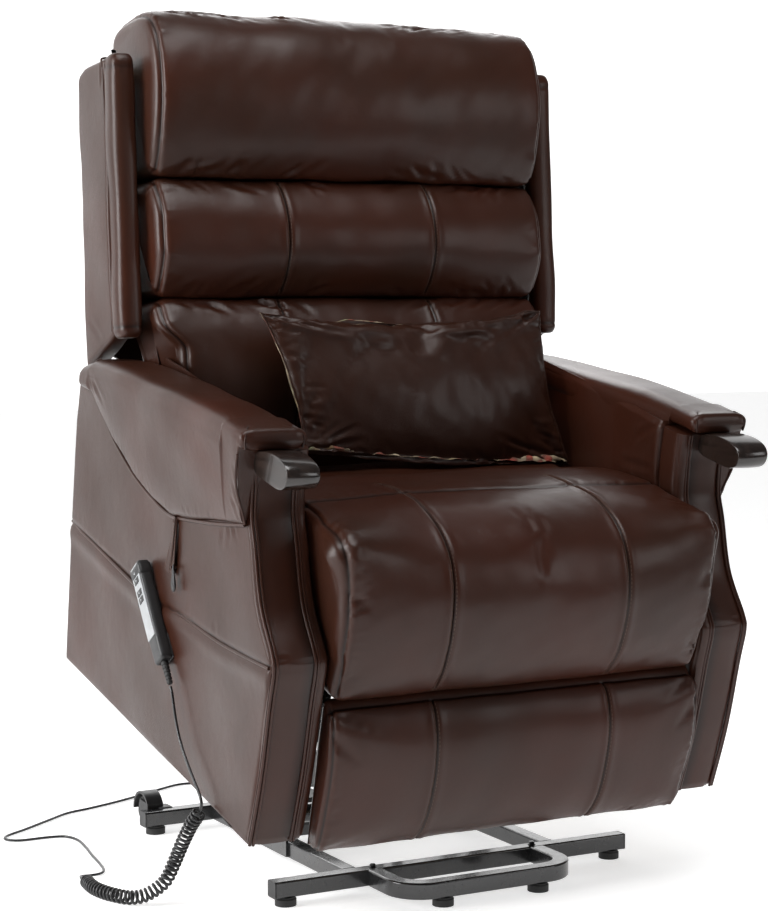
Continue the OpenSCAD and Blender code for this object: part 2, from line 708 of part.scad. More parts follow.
module middle_cushion() color(leather) in_back() {
    b = lower_seam + seam_gap / 2;
    t = upper_seam - seam_gap / 2;
    pad([[back_face, b, 0], [-146, b, 0], [-172, b + 20, 0.6], [-192, b + 62, 1], [-194, (b + t) / 2, 1],
        [-190, t - 52, 1], [-172, t - 18, 0.6], [-146, t, 0], [back_face, t, 0]],
            back_w / 2, back_edge, back_crown);
}

module head_cushion() color(leather) in_back() {
    b = upper_seam + seam_gap / 2;
    h = back_h;
    pad([[back_face, b, 0], [-150, b, 0], [-176, b + 16, 0.6], [-198, b + 70, 1], [-208, h - 136, 1],
        [-201, h - 74, 1], [-180, h - 30, 0.8], [-146, h - 9, 0.5], [-84, h - 4, 0.4], [-30, h - 12, 0.2],
        [-8, h - 36, 0], [-8, wing_h + 0.3, 0], [back_face, wing_h + 0.3, 0]],
            back_w / 2, back_edge, back_crown);
}

// Wing: a padded panel with a fat round roll along its front edge, both domed at the top.
module wing() color(leather) in_back() {
    roll_d = 44;
    roll_in = wing_out - wing_roll_w;
    roll_back = -106;
    panel_back = 4;
    rise = 322;
    caps = [[0, 0.62], [3, 0.85], [9, 0.97], [16, 1]];
    rows = concat([for (c = caps) [rise + c[0], c[1]]], [[540, 1]], [for (i = [3:-1:0])
        [wing_h - caps[i][0], caps[i][1]]]);
    skin([for (r = rows) let (m = (roll_in + wing_out) / 2, w = wing_roll_w / 2 * r[1],
        y = roll_back - roll_d / 2 + 3,
        d = (roll_d / 2 + 3) * r[1]) [for (q = soft_ring(y - d, y + d, m - w, m + w, 16, 2.6)) [q[1],
            q[0], r[0]]]]);
    plate(wing_in, wing_t - 2) polygon([[roll_back - 4, rise + 6], [roll_back + 10, rise - 4],
        [panel_back, 281],
        [panel_back, wing_h - 26], [panel_back - 10, wing_h - 12], [panel_back - 30, wing_h - 5],
            [roll_back - 4, wing_h - 5]]);
}
module wing_left() wing();
module wing_right() side(-1) wing();

// Loose lumbar pillow: corners at the upper right, upper left, lower right and lower left, as [x, z].
pillow_at = [62, 455, 523];
pillow_lean = 27;
pillow_cells = 8;
module lumbar_pillow() color(leather) in_chair() translate(pillow_at) rotate([-pillow_lean, 0, 0]) {
    w = pillow_w / 2;
    h = pillow_h / 2;
    n = pillow_cells;
    corner = [[-w - 18, h], [w - 12, h], [-w + 32, -h + 30], [w + 6, -h - 8]];
    // The front (s = -1) or rear (s = 1) at u, v, which run from -1 to 1.
    flat = function (u, v) (1 + v) / 4 * ((1 - u) * corner[0] + (1 + u) * corner[1])
        + (1 - v) / 4 * ((1 - u) * corner[2] + (1 + u) * corner[3])
        - [0.06 * w * u * (1 - v * v), 0.08 * h * (1 + v) * (1 - u * u)];
    swell = function (a) pow(max(0, 1 - a * a), 0.55);
    point = function (u, v, s) let (q = flat(u, v)) [q[0], s * (pillow_t / 2 * swell(u) * swell(v)
        + 1.5), q[1]];
    grid = [for (s = [-1, 1], j = [0:n], i = [0:n]) point(sin(90 * (2 * i / n - 1)),
        sin(90 * (2 * j / n - 1)), s)];
    m = n + 1;
    off = m * m;
    front = [for (j = [0:n - 1], i = [0:n - 1]) let (a = j * m + i)
        each [[a, a + m, a + 1], [a + 1, a + m, a + m + 1]]];
    rear = [for (f = front) [f[0] + off, f[2] + off, f[1] + off]];
    rim = concat([for (i = [0:n - 1]) i], [for (j = [0:n - 1]) j * m + n],
        [for (i = [0:n - 1]) n * m + n - i], [for (j = [0:n - 1]) (n - j) * m]);
    hem = [for (k = [0:len(rim) - 1]) let (a = rim[k], b = rim[(k + 1) % len(rim)])
        each [[a, b, a + off], [b, b + off, a + off]]];
    polyhedron(grid, concat(front, rear, hem), convexity = 4);
}

// ---- Footrest ----
foot_in = foot_layer - bar_t - layer_gap;
board_ear = foot_in - 6 - layer_gap;
foot_low = foot_pivot + turn([foot_link, 0], -180 + foot_stow);
foot_high = foot_low + turn([foot_link, 0], 180 - foot_stow);
foot_face = 5;
board_low = -8;
board_top = 200;

module footrest_rear_links() color(steel_black) in_chair() {
    both() {
        translate([0, foot_pivot[0], foot_pivot[1]]) rotate([-180 + foot_stow, 0, 0])
            eye_bar(foot_layer, foot_link, 22, pin_d + 2 * running, 0);
        pin(foot_in - 0.5, foot_layer + 2, foot_low, pin_d);
    }
    pin(-foot_layer - 2, foot_layer + 2, foot_pivot + turn([60, 0], -180 + foot_stow), 16);
}

module footrest_front_links() color(steel_black) in_chair() {
    both() translate([0, foot_low[0], foot_low[1]]) rotate([180 - foot_stow, 0, 0])
        eye_bar(foot_in, foot_link, 22, pin_d + 2 * running, pin_d + 2 * running);
    pin(-foot_in - 2, foot_in + 2, foot_low + turn([80, 0], 180 - foot_stow), 16);
}

module footrest_board() color(pine) in_chair() {
    translate([-foot_w / 2 + 18, foot_face, board_low]) cube([foot_w - 36, foot_board_t,
        board_top - board_low]);
    both() {
        plate(board_ear, 6) union() {
            translate(foot_high) circle(r = 11, $fn = fine);
            translate([foot_face + foot_board_t, foot_high[1] - 11])
                square([foot_high[0] - foot_face - foot_board_t, 22]);
        }
        pin(board_ear + 4, foot_in + bar_t + 0.5, foot_high, pin_d);
    }
}

module footrest_pad() color(leather) in_chair() {
    b = -12;
    t = b + foot_pad_h;
    pad([[foot_face - 0.3, b + 2, 0], [-6, b, 0], [-22, b + 1, 0.2], [-36, b + 18, 0.8], [-44, b + 64, 1],
        [-50, b + 130, 1], [-46, t - 36, 1], [-38, t - 10, 0.6], [-22, t, 0.1], [foot_face - 0.3, t - 8, 0]],
        foot_w / 2, 14, 10);
}

// ---- Handset and its cord ----
handset_foot = [302, 157];
handset_lean = 48;
handset_x = panel_out + 5.5;
relief_l = 37;
face_t = 1;
module in_handset() side(-1) in_chair() translate([handset_x, handset_foot[0], handset_foot[1]])
    rotate([-handset_lean, 0, 0]) children();

// A bar of the handset along +Z whose section is a rounded rectangle in its own X and Y.
module case_bar(x, t, w, z0, z1, r) translate([x, -w / 2, z0]) linear_extrude(z1 - z0) round_square(t, w, r);

// Heights of the four buttons on the handset.
button_spots = [handset_l - 16, handset_l - 28, handset_l - 48, handset_l - 60];
button_gap = 0.25;
button_l = 10;
button_w = 17;
button_h = 2;
button_root = 1.6;
pocket = button_root + button_travel + 0.8;
module handset() color(plastic_black) in_handset() {
    difference() {
        case_bar(0, handset_t, handset_w, 0, handset_l, 5);
        for (b = button_spots) translate([handset_t - pocket, -button_w / 2, b - button_l / 2])
            cube([pocket + 1, button_w, button_l]);
    }
    translate([-5.5, -11, 62]) cube([6, 22, 46]);
    for (i = [0:5]) translate([handset_t / 2, 0, -relief_l + 6 * i])
        cylinder(h = 4, d = 8 + 0.5 * i, $fn = fine);
    translate([handset_t / 2, 0, -relief_l]) cylinder(h = relief_l, d1 = 7, d2 = 9, $fn = fine);
}

module handset_face() color([0.62, 0.63, 0.64]) in_handset() difference() {
    case_bar(handset_t, face_t, handset_w - 8, 40, handset_l - 4, 0.4);
    for (b = button_spots) translate([handset_t - 1, -button_w / 2, b - button_l / 2])
        cube([face_t + 2, button_w, button_l]);
}

module button(i) color([0.1, 0.1, 0.11]) in_handset()
    translate([handset_t - button_root, button_gap - button_w / 2,
        button_spots[i] + button_gap - button_l / 2])
        cube([button_root + button_h, button_w - 2 * button_gap, button_l - 2 * button_gap]);
module button_back_up() button(0);
module button_back_down() button(1);
module button_lift_up() button(2);
module button_lift_down() button(3);

strap_x = panel_out + drape_t + 0.5;
strap_t = 5;
pull_at = [309, 302];
rivet_d = 4;
module strap_loop() color(dark_leather) side(-1) in_chair() {
    plate(strap_x, strap_t) polygon([[304, 285], [346, 294], [343, 330], [336, 356], [328, 374], [316, 374],
        [309, 356], [303, 320]]);
    plate(panel_out, strap_x - panel_out + 1) polygon([[312, 350], [332, 350], [328, 368], [316, 368]]);
    pin(strap_x + 1, strap_x + strap_t + 5, pull_at, rivet_d);
}

module strap_pull() color(plastic_black) side(-1) in_chair() plate(strap_x + strap_t + 0.3, 4) difference() {
    hull() {
        translate(pull_at) circle(d = 9, $fn = 32);
        translate(pull_at + [-9, -33]) circle(d = 13, $fn = 32);
    }
    translate(pull_at) circle(d = rivet_d + 2 * running, $fn = fine);
}

// A smooth way through a few points, with steps samples for each stretch.
function way(p, steps) = let (n = len(p) - 1) concat([for (i = [0:n - 1], k = [0:steps - 1])
    bend(p[max(i - 1, 0)], p[i], p[i + 1], p[min(i + 2, n)], k / steps)], [p[n]]);
function heading(p, i) = let (n = len(p) - 1) unit(p[min(i + 1, n)] - p[max(i - 1, 0)]);
// A flat ring round the point c that faces the way t, with its first point toward ref.
function cord_ring(c, t, ref, d, sides) = let (v = unit(ref - t * (t * ref)), u = cross(t, v))
    [for (k = [0:sides - 1]) c + d / 2 * (v * cos(360 * k / sides) + u * sin(360 * k / sides))];

// A cord along a route of hand-set points. Its two end faces look straight along the route.
module cord(route, ref, steps) {
    p = way(route, steps);
    n = len(p) - 1;
    skin([for (i = [0:n]) let (t = i == 0 || i == n ? heading(route, i == n ? len(route) - 1 : 0)
        : heading(p, i))
        cord_ring(p[i], t, ref, cord_d, 8)]);
}

// Routes on the base, as [x, y, z]. The curly part runs from the floor up to the handset lead.
curl_route = [[-508, 245, 11], [-508, 233, 11], [-511, 200, 11], [-508, 169, 11], [-498, 140, 11],
    [-485, 120, 11],
    [-470, 108, 14], [-455, 100, 22], [-440, 92, 37], [-430, 83, 64], [-422, 69, 97], [-416, 51, 126],
        [-412, 35, 144],
    [-412, 28, 154]];
lead_route = [[-412, 28, 154], [-412, 24, 162], [-412, 30, 173], [-412, 52, 192], [-412, 78, 215],
    [-412, 100, 240],
    [-412, 115, 267], [-412, 124, 292], [-412, 129, 306], [-412, 134, 314]];
floor_route = [[-125, 413, 58], [-125, 428, 57], [-125, 446, 50], [-125, 460, 32], [-125, 472, 12],
    [-125, 488, 3],
    [-124, 520, 2.4], [-116, 580, 2.4], [-96, 650, 2.4], [-72, 715, 2.4], [-62, 762, 2.4], [-76, 797, 2.4],
    [-112, 805, 2.4], [-160, 784, 2.4], [-207, 758, 2.4], [-262, 731, 2.4], [-320, 708, 2.4],
        [-368, 692, 2.4],
    [-414, 659, 2.4], [-469, 618, 2.4], [-510, 590, 2.4], [-519, 568, 2.4], [-500, 551, 2.4],
        [-454, 549, 2.4],
    [-427, 540, 2.4], [-418, 507, 2.4], [-424, 455, 2.4], [-433, 405, 2.4], [-441, 352, 2.4],
        [-450, 312, 2.4],
    [-463, 296, 2.4], [-483, 288, 4], [-500, 276, 8], [-508, 257, 11], [-508, 245, 11]];

module handset_lead() color(plastic_black) in_base() cord(lead_route, [1, 0, 0], 2);
module floor_lead() color(plastic_black) in_base() cord(floor_route, [0, 0, 1], 2);

// The curls: rings each an eighth of a turn on, whose radius grows from the straight ends.
rings_per_curl = 8;
curl_way = way(curl_route, 6);
curl_run = [for (i = 0, s = 0; i < len(curl_way); i = i + 1, s = s + (i < len(curl_way)
    ? norm(curl_way[i] - curl_way[i - 1]) : 0)) s];
function curl_axis(s) = [for (k = [0:2]) lookup(s, [for (i = [0:len(curl_way) - 1]) [curl_run[i],
    curl_way[i][k]]])];
curl_total = curl_run[len(curl_run) - 1];
curl_count = curls * rings_per_curl;
curl_path = [for (i = [0:curl_count]) let (s = cord_d + (curl_total - 2 * cord_d) * i / curl_count,
    t = unit(curl_axis(min(s + 3, curl_total)) - curl_axis(max(s - 3, 0))), up = [0, 1, 1],
    n1 = unit(up - t * (t * up)), n2 = cross(t, n1), turn = 360 * i / rings_per_curl,
    r = (curl_d - cord_d) / 2 * ease(min(i, curl_count - i) / rings_per_curl))
    curl_axis(s) + r * (n1 * cos(turn) + n2 * sin(turn))];
curl_gap = min([for (i = [0:curl_count - 5], j = [i + 5:min(i + 30, curl_count)])
    norm(curl_path[i] - curl_path[j])])
    - cord_d;
echo(least_gap_between_curls = curl_gap, curly_length = curl_total);

module curly_cord() color(plastic_black) in_base() {
    p = concat([curl_route[0]], curl_path, [curl_route[len(curl_route) - 1]]);
    n = len(p) - 1;
    up = [0, 1, 1];
    skin([for (i = [0:n]) let (j = len(curl_route) - 1, t = i == 0 ? heading(curl_route, 0)
        : i == n ? heading(curl_route, j) : heading(p, i)) cord_ring(p[i], t, up, cord_d, 6)]);
}

front_tube();
rear_tube();
base_rails();
front_bar();
tube_end_caps();
rubber_feet();
lift_mounts();
base_pins();
wheel_brackets();
wheel_left();
wheel_right();
control_box();
lift_arms();
rear_links();
lift_motor();
lift_rod();
chair_rails();
cross_rails();
chair_brackets();
seat_frame();
seat_webbing();
seat_cushion();
side_frames();
side_panel_left();
side_panel_right();
inner_panel_left();
inner_panel_right();
front_post_left();
front_post_right();
arm_pad_left();
arm_pad_right();
arm_drape_left();
arm_drape_right();
hand_grip_left();
hand_grip_right();
back_motor();
back_rod();
back_frame();
outer_back();
lower_cushion();
middle_cushion();
head_cushion();
wing_left();
wing_right();
lumbar_pillow();
footrest_rear_links();
footrest_front_links();
footrest_board();
footrest_pad();
handset();
handset_face();
button_back_up();
button_back_down();
button_lift_up();
button_lift_down();
strap_loop();
strap_pull();
handset_lead();
curly_cord();
floor_lead();
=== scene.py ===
"""A lift recliner chair, dressed on its CAD frame: upholstery, wood, steel and cords, in a plain studio."""

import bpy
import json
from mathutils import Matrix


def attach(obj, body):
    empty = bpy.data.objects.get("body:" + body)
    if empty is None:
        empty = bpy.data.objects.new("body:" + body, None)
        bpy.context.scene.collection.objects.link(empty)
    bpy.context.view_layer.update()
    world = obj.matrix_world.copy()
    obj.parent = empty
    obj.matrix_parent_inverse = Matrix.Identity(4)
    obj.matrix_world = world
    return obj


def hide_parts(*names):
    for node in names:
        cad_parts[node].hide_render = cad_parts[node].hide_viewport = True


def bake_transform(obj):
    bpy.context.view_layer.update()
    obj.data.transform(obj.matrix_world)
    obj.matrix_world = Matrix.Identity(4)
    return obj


bl_info = {
    "name": "Lift recliner chair",
    "version": (1, 0, 0),
    "blender": (4, 5, 0),
    "location": "3D View > Sidebar > Lift chair",
    "description": "Dresses the CAD frame of a lift recliner chair",
    "category": "Object",
}

import json
import math

import bpy
import numpy as np
from mathutils import Matrix, Vector

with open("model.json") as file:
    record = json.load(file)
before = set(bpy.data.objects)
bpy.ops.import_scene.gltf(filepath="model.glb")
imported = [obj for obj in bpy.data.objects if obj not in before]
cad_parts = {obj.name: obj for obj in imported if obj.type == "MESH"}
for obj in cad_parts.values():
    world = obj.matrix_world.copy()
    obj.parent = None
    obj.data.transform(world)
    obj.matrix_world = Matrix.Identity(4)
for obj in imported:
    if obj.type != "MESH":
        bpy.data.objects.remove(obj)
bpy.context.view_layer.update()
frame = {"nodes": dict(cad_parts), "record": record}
MM = 0.001

# ---- Places, worked out from the frame ----

JOINTS = {joint["name"]: joint for joint in frame["record"]["behaviour"]["joints"]}


def joint_place(name):
    return Vector(JOINTS[name]["pos_m"])


def shift(x, y, z):
    return Matrix.Translation(Vector((x, y, z)))


def turn_x(angle):
    return Matrix.Rotation(angle, 4, "X")


# From millimetres on the base, in the upper chair and in the backrest to the object's frame.
BACK_LEAN = math.radians(17)
STROKE = JOINTS["back_stroke"]["axis"]
TILT = math.atan2(STROKE[2], STROKE[1])
BASE = Matrix.Translation(joint_place("lift")) @ shift(0, -0.230, -0.075)
CHAIR = Matrix.Translation(joint_place("carriage_tilt")) @ turn_x(TILT) @ shift(0, -0.586, -0.080)
BACK = Matrix.Translation(joint_place("recline")) @ turn_x(TILT - BACK_LEAN)


# ---- Numbers on curves and grids ----

def ease(t):
    t = np.clip(t, 0, 1)
    return t * t * (3 - 2 * t)


def unit(v):
    v = np.array(v, float)
    return v / np.maximum(np.linalg.norm(v, axis=-1, keepdims=True), 1e-9)


def cubic(a, b, c, d, t):
    return 0.5 * (2 * b + (c - a) * t + (2 * a - 5 * b + 4 * c - d) * t ** 2 + (3 * b - a - 3 * c + d) * t ** 3)


def outline_at(outline, places):
    """Points of a closed padded outline of (y, z, crown share). Between two points without a share it is
    straight.
    """
    p = np.array(outline, float)
    places = np.mod(np.array(places, float), len(p))
    i = places.astype(int)
    t = (places - i)[:, None]
    a, b, c, d = (p[(i + k) % len(p)] for k in (-1, 0, 1, 2))
    straight = ((b[:, 2] == 0) & (c[:, 2] == 0))[:, None]
    return np.where(straight, b + (c - b) * t, cubic(a, b, c, d, t))


def route_at(points, steps):
    """A smooth open way through points."""
    p = np.array(points, float)
    n = len(p) - 1
    t = np.arange(n * steps + 1) / steps
    i = np.minimum(t.astype(int), n - 1)
    t = (t - i)[:, None]
    return cubic(p[np.maximum(i - 1, 0)], p[i], p[i + 1], p[np.minimum(i + 2, n)], t)


def run_of(points):
    """How far along a path each of its points lies."""
    steps = np.linalg.norm(np.diff(np.array(points, float), axis=0), axis=1)
    return np.concatenate([[0], np.cumsum(steps)])


def even(points, gap):
    """The same path with its points about gap apart."""
    points = np.array(points, float)
    run = run_of(points)
    at = np.linspace(0, run[-1], max(3, int(round(run[-1] / gap)) + 1))
    return np.stack([np.interp(at, run, points[:, k]) for k in range(points.shape[1])], axis=1)


def spaced(start, end, base, near=(), fine=1.3, reach=12):
    """Numbers from start to end about base apart, and closer near some of them."""
    at = [start]
    while at[-1] < end:
        gap = min([abs(at[-1] - s) for s in near], default=1e9)
        at.append(at[-1] + fine + (base - fine) * float(ease((gap - 4) / reach)))
    at = np.array(at)
    return start + (at - start) * (end - start) / (at[-1] - start)


def resample(grid, rows, cols):
    """A grid of rings at fractional row and column numbers, smoothly. Columns wrap round."""
    n, m = grid.shape[:2]
    i = np.minimum(rows.astype(int), n - 2)
    t = (rows - i)[:, None, None]
    grid = cubic(grid[np.maximum(i - 1, 0)], grid[i], grid[i + 1], grid[np.minimum(i + 2, n - 1)], t)
    j = np.floor(cols).astype(int)
    t = (cols - j)[None, :, None]
    return cubic(*(grid[:, (j + k) % m] for k in (-1, 0, 1, 2)), t)


def volume_sign(grid):
    """1 where the quads of a grid of rings face outwards in row and ring order, and -1 where they face in."""
    centre = grid.mean(axis=(0, 1))
    g = grid - centre
    a, b = g[:-1], g[1:]
    c, d = np.roll(a, -1, axis=1), np.roll(b, -1, axis=1)
    total = np.einsum("ijk,ijk->", a, np.cross(b, d)) + np.einsum("ijk,ijk->", a, np.cross(d, c))
    return 1.0 if total > 0 else -1.0


def normals_of(grid):
    along = np.gradient(grid, axis=0)
    around = np.roll(grid, -1, axis=1) - np.roll(grid, 1, axis=1)
    return unit(np.cross(along, around)) * volume_sign(grid)


def line_mark(distance, width):
    """1 on a line, fading to 0 over its width."""
    return np.exp(-(distance / width) ** 2)


def waves(points, seed, length, depth):
    """Soft, uneven waves about length apart: one number for each point."""
    rng = np.random.default_rng(seed)
    total = np.zeros(points.shape[:-1])
    for _ in range(7):
        way = unit(rng.normal(size=3)) * 2 * math.pi / (length * rng.uniform(0.7, 1.5))
        total += np.sin(points @ way + rng.uniform(0, 6.28))
    return total * depth / 2.6


def folds(points, segments):
    """Creases along segments of (start, end, depth, width), deepest in the middle: one number for each
    point.
    """
    total = np.zeros(points.shape[:-1])
    flat = points.reshape(-1, 3)
    shown = total.reshape(-1)
    for start, end, depth, width in segments:
        start, end = np.array(start, float), np.array(end, float)
        middle, reach = (start + end) / 2, np.linalg.norm(end - start) / 2 + 5 * width
        close = np.nonzero(np.abs(flat - middle).max(axis=1) < reach)[0]
        if not len(close):
            continue
        near, span = flat[close], end - start
        t = np.clip(((near - start) @ span) / max(span @ span, 1e-9), 0, 1)
        gap = np.linalg.norm(near - start - t[:, None] * span, axis=1)
        fade = np.sin(math.pi * np.clip(t * 0.94 + 0.03, 0, 1)) ** 0.6
        shown[close] -= depth * fade * (line_mark(gap, width) - 0.5 * line_mark(gap - 1.8 * width, width))
    return total


# ---- Making pieces ----

def deselect():
    if bpy.context.object and bpy.context.object.mode != "OBJECT":
        bpy.ops.object.mode_set(mode="OBJECT")
    bpy.ops.object.select_all(action="DESELECT")


def pick(piece):
    deselect()
    piece.select_set(True)
    bpy.context.view_layer.objects.active = piece


class Build:
    """Points and faces of one piece, in millimetres, with how far each point lies in a seam, which the leather
    paints as shade.
    """

    def __init__(self):
        self.points, self.faces, self.seams, self.kinds, self.count = [], [], [], [], 0

    def grid(self, grid, seam=None, caps=True, kind=0):
        """Quads over a grid of closed rings, turned to face outwards, with its two ends closed."""
        rows, cols = grid.shape[:2]
        first = self.count
        self.points.append(grid.reshape(-1, 3))
        self.seams.append(np.zeros(rows * cols) if seam is None else np.broadcast_to(seam, (rows,
                cols)).reshape(-1))
        self.count += rows * cols
        a = first + np.arange(rows - 1)[:, None] * cols + np.arange(cols)[None, :]
        b = first + np.arange(rows - 1)[:, None] * cols + (np.arange(cols)[None, :] + 1) % cols
        faces = np.stack([a, a + cols, b + cols, b], axis=-1).reshape(-1, 4)
        near, far = np.arange(first, first + cols), np.arange(first + (rows - 1) * cols, first + rows * cols)
        outwards = volume_sign(grid) > 0
        faces = (faces if outwards else faces[:, ::-1]).tolist()
        if caps:
            faces += [near.tolist(), far[::-1].tolist()] if outwards else [near[::-1].tolist(), far.tolist()]
        self.faces += faces
        self.kinds += [kind] * len(faces)
        return self

    def tube(self, path, radius, sides=8, seam=0.0, kind=0, up=(0.31, 0.17, 0.94)):
        """A round tube along a path, with closed ends. radius may be one number for each point."""
        path = np.array(path, float)
        ways = unit(np.gradient(path, axis=0))
        radius = np.broadcast_to(np.array(radius, float), len(path))
        up = np.array(up, float)
        rings = []
        turn = 2 * math.pi * np.arange(sides) / sides
        for centre, way, r in zip(path, ways, radius):
            up = unit(up - way * (way @ up))
            right = np.cross(way, up)
            rings.append(centre + r * (np.cos(turn)[:, None] * up + np.sin(turn)[:, None] * right))
        return self.grid(np.array(rings), np.full((len(path), sides), seam), kind=kind)

    def stitches(self, path, length=None, gap=None, thick=None, kind=1):
        """A row of thread stitches lying on a path, of the usual sizes unless others are given."""
        usual = bpy.context.scene.lift_chair_sizes
        length = length or usual.stitch_length / MM
        gap = gap or usual.stitch_gap / MM
        thick = thick or usual.thread_radius / MM
        path = even(path, 0.6)
        span, step = int(length / 0.6), int((length + gap) / 0.6)
        for k in range(1, len(path) - span - 1, step):
            a, b = path[k], path[k + span]
            self.tube([a, a + (b - a) * 0.25, path[k + span // 2], a + (b - a) * 0.75, b],
                      [thick * 0.4, thick, thick, thick, thick * 0.4], 5, kind=kind)
        return self

    def finish(self, name, place, materials, body, replaces=(), slot=None, fill=None):
        """The piece as an object at the origin, riding on its body."""
        mesh = bpy.data.meshes.new(name)
        points = np.concatenate(self.points) * MM
        matrix = np.array(place)
        mesh.from_pydata((points @ matrix[:3, :3].T + matrix[:3, 3]).tolist(), [], self.faces)
        # The seam attribute carries painted shade for the leather's colour.
        mesh.attributes.new("seam", "FLOAT", "POINT").data.foreach_set("value", np.concatenate(self.seams))
        for material in materials:
            mesh.materials.append(material)
        mesh.polygons.foreach_set("material_index", self.kinds)
        piece = bpy.data.objects.new(name, mesh)
        bpy.context.collection.objects.link(piece)
        pick(piece)
        bpy.ops.object.shade_smooth_by_angle(angle=math.radians(50))
        return settle_in(piece, body, replaces)


def settle_in(piece, body, replaces=()):
    if body:
        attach(piece, body)
    if replaces:
        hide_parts(*replaces)
    return piece


class Surface:
    """A finished grid that seams and folds can be laid on, by its row and column numbers."""

    def __init__(self, grid, rows, cols):
        self.grid, self.rows, self.cols = grid, np.array(rows, float), np.array(cols, float)
        self.normals = normals_of(grid)
        self.order = 1 if self.rows[-1] > self.rows[0] else -1

    def at(self, row, col, lift=0.0):
        i = float(np.interp(row * self.order, self.rows * self.order, np.arange(len(self.rows))))
        j = float(np.interp(col, self.cols, np.arange(len(self.cols))))
        i0, j0 = min(int(i), len(self.rows) - 2), min(int(j), len(self.cols) - 2)
        u, v = i - i0, j - j0
        def mix(a):
            return ((a[i0, j0] * (1 - u) + a[i0 + 1, j0] * u) * (1 - v)
                    + (a[i0, j0 + 1] * (1 - u) + a[i0 + 1, j0 + 1] * u) * v)
        return mix(self.grid) + unit(mix(self.normals)) * lift

    def line(self, rows, cols, lift=0.3, count=150):
        """Points on the surface from one row and column number to another, each a pair or one number."""
        ends = lambda v: np.linspace(*(v if isinstance(v, (tuple, list)) else (v, v)), count)
        return np.array([self.at(r, c, lift) for r, c in zip(ends(rows), ends(cols))])

    def pleats(self, rows, cols, way, count, seed, depth, width=2.2, reach=24):
        """Short uneven creases from a seam, which run way = (row step, column step) from it, in
        millimetres.
        """
        rng = np.random.default_rng(seed)
        path = self.line(rows, cols, 0, 60)
        far = self.line([r + way[0] for r in (rows if isinstance(rows, (tuple, list)) else (rows, rows))],
                        [c + way[1] for c in (cols if isinstance(cols, (tuple, list)) else (cols, cols))], 0,
                        60)
        made = []
        for _ in range(count):
            k = rng.integers(0, 59)
            q = int(np.clip(k + rng.integers(-4, 5), 0, 59))
            ahead = unit(far[q] - path[k])
            made.append((path[k] + ahead * rng.uniform(0, 2), path[k] + ahead * reach * rng.uniform(0.35,
                    1.2),
                         depth * rng.uniform(0.35, 1.2), width * rng.uniform(0.7, 1.5)))
        return made


def swollen(grid, held, cap, frames=16, pressure=4.0):
    """The grid after the filling has pressed its leather outwards, in a cloth simulation. held pins its
    points.
    """
    build = Build().grid(grid)
    mesh = bpy.data.meshes.new("filling")
    mesh.from_pydata((np.concatenate(build.points) * MM).tolist(), [], build.faces)
    piece = bpy.data.objects.new("filling", mesh)
    bpy.context.collection.objects.link(piece)
    pins = piece.vertex_groups.new(name="held")
    for level in np.unique(np.round(held.reshape(-1), 1)):
        if level > 0:
            pins.add(np.nonzero(np.round(held.reshape(-1), 1) == level)[0].tolist(), float(level), "REPLACE")
    cloth = piece.modifiers.new("Cloth", "CLOTH")
    cloth.settings.quality = 4
    cloth.settings.mass = 0.25
    cloth.settings.tension_stiffness = 18
    cloth.settings.compression_stiffness = 12
    cloth.settings.bending_stiffness = 1.5
    cloth.settings.use_pressure = True
    cloth.settings.uniform_pressure_force = pressure
    cloth.settings.vertex_group_mass = "held"
    cloth.settings.effector_weights.gravity = 0
    cloth.collision_settings.use_collision = False
    cloth.point_cache.frame_start = 1
    cloth.point_cache.frame_end = frames
    for number in range(1, frames + 1):
        bpy.context.scene.frame_set(number)
    shown = piece.evaluated_get(bpy.context.evaluated_depsgraph_get())
    after = np.empty(len(mesh.vertices) * 3)
    shown.data.vertices.foreach_get("co", after)
    bpy.data.objects.remove(piece)
    bpy.data.meshes.remove(mesh)
    bpy.context.scene.frame_set(1)
    move = after.reshape(grid.shape) / MM - grid
    size = np.linalg.norm(move, axis=-1, keepdims=True)
    return grid + move * np.minimum(1, cap / np.maximum(size, 1e-9))


def blend_rows(half, edge, gap):
    """Row places across a cushion from +half to -half, closer over its rounded rims."""
    rims = half - edge + edge * np.sin(np.linspace(0, math.pi / 2, 8)[1:])
    middle = np.linspace(half - edge, edge - half, max(8, int(round(2 * (half - edge) / gap)) + 1))
    return np.concatenate([rims[::-1], middle, -rims])


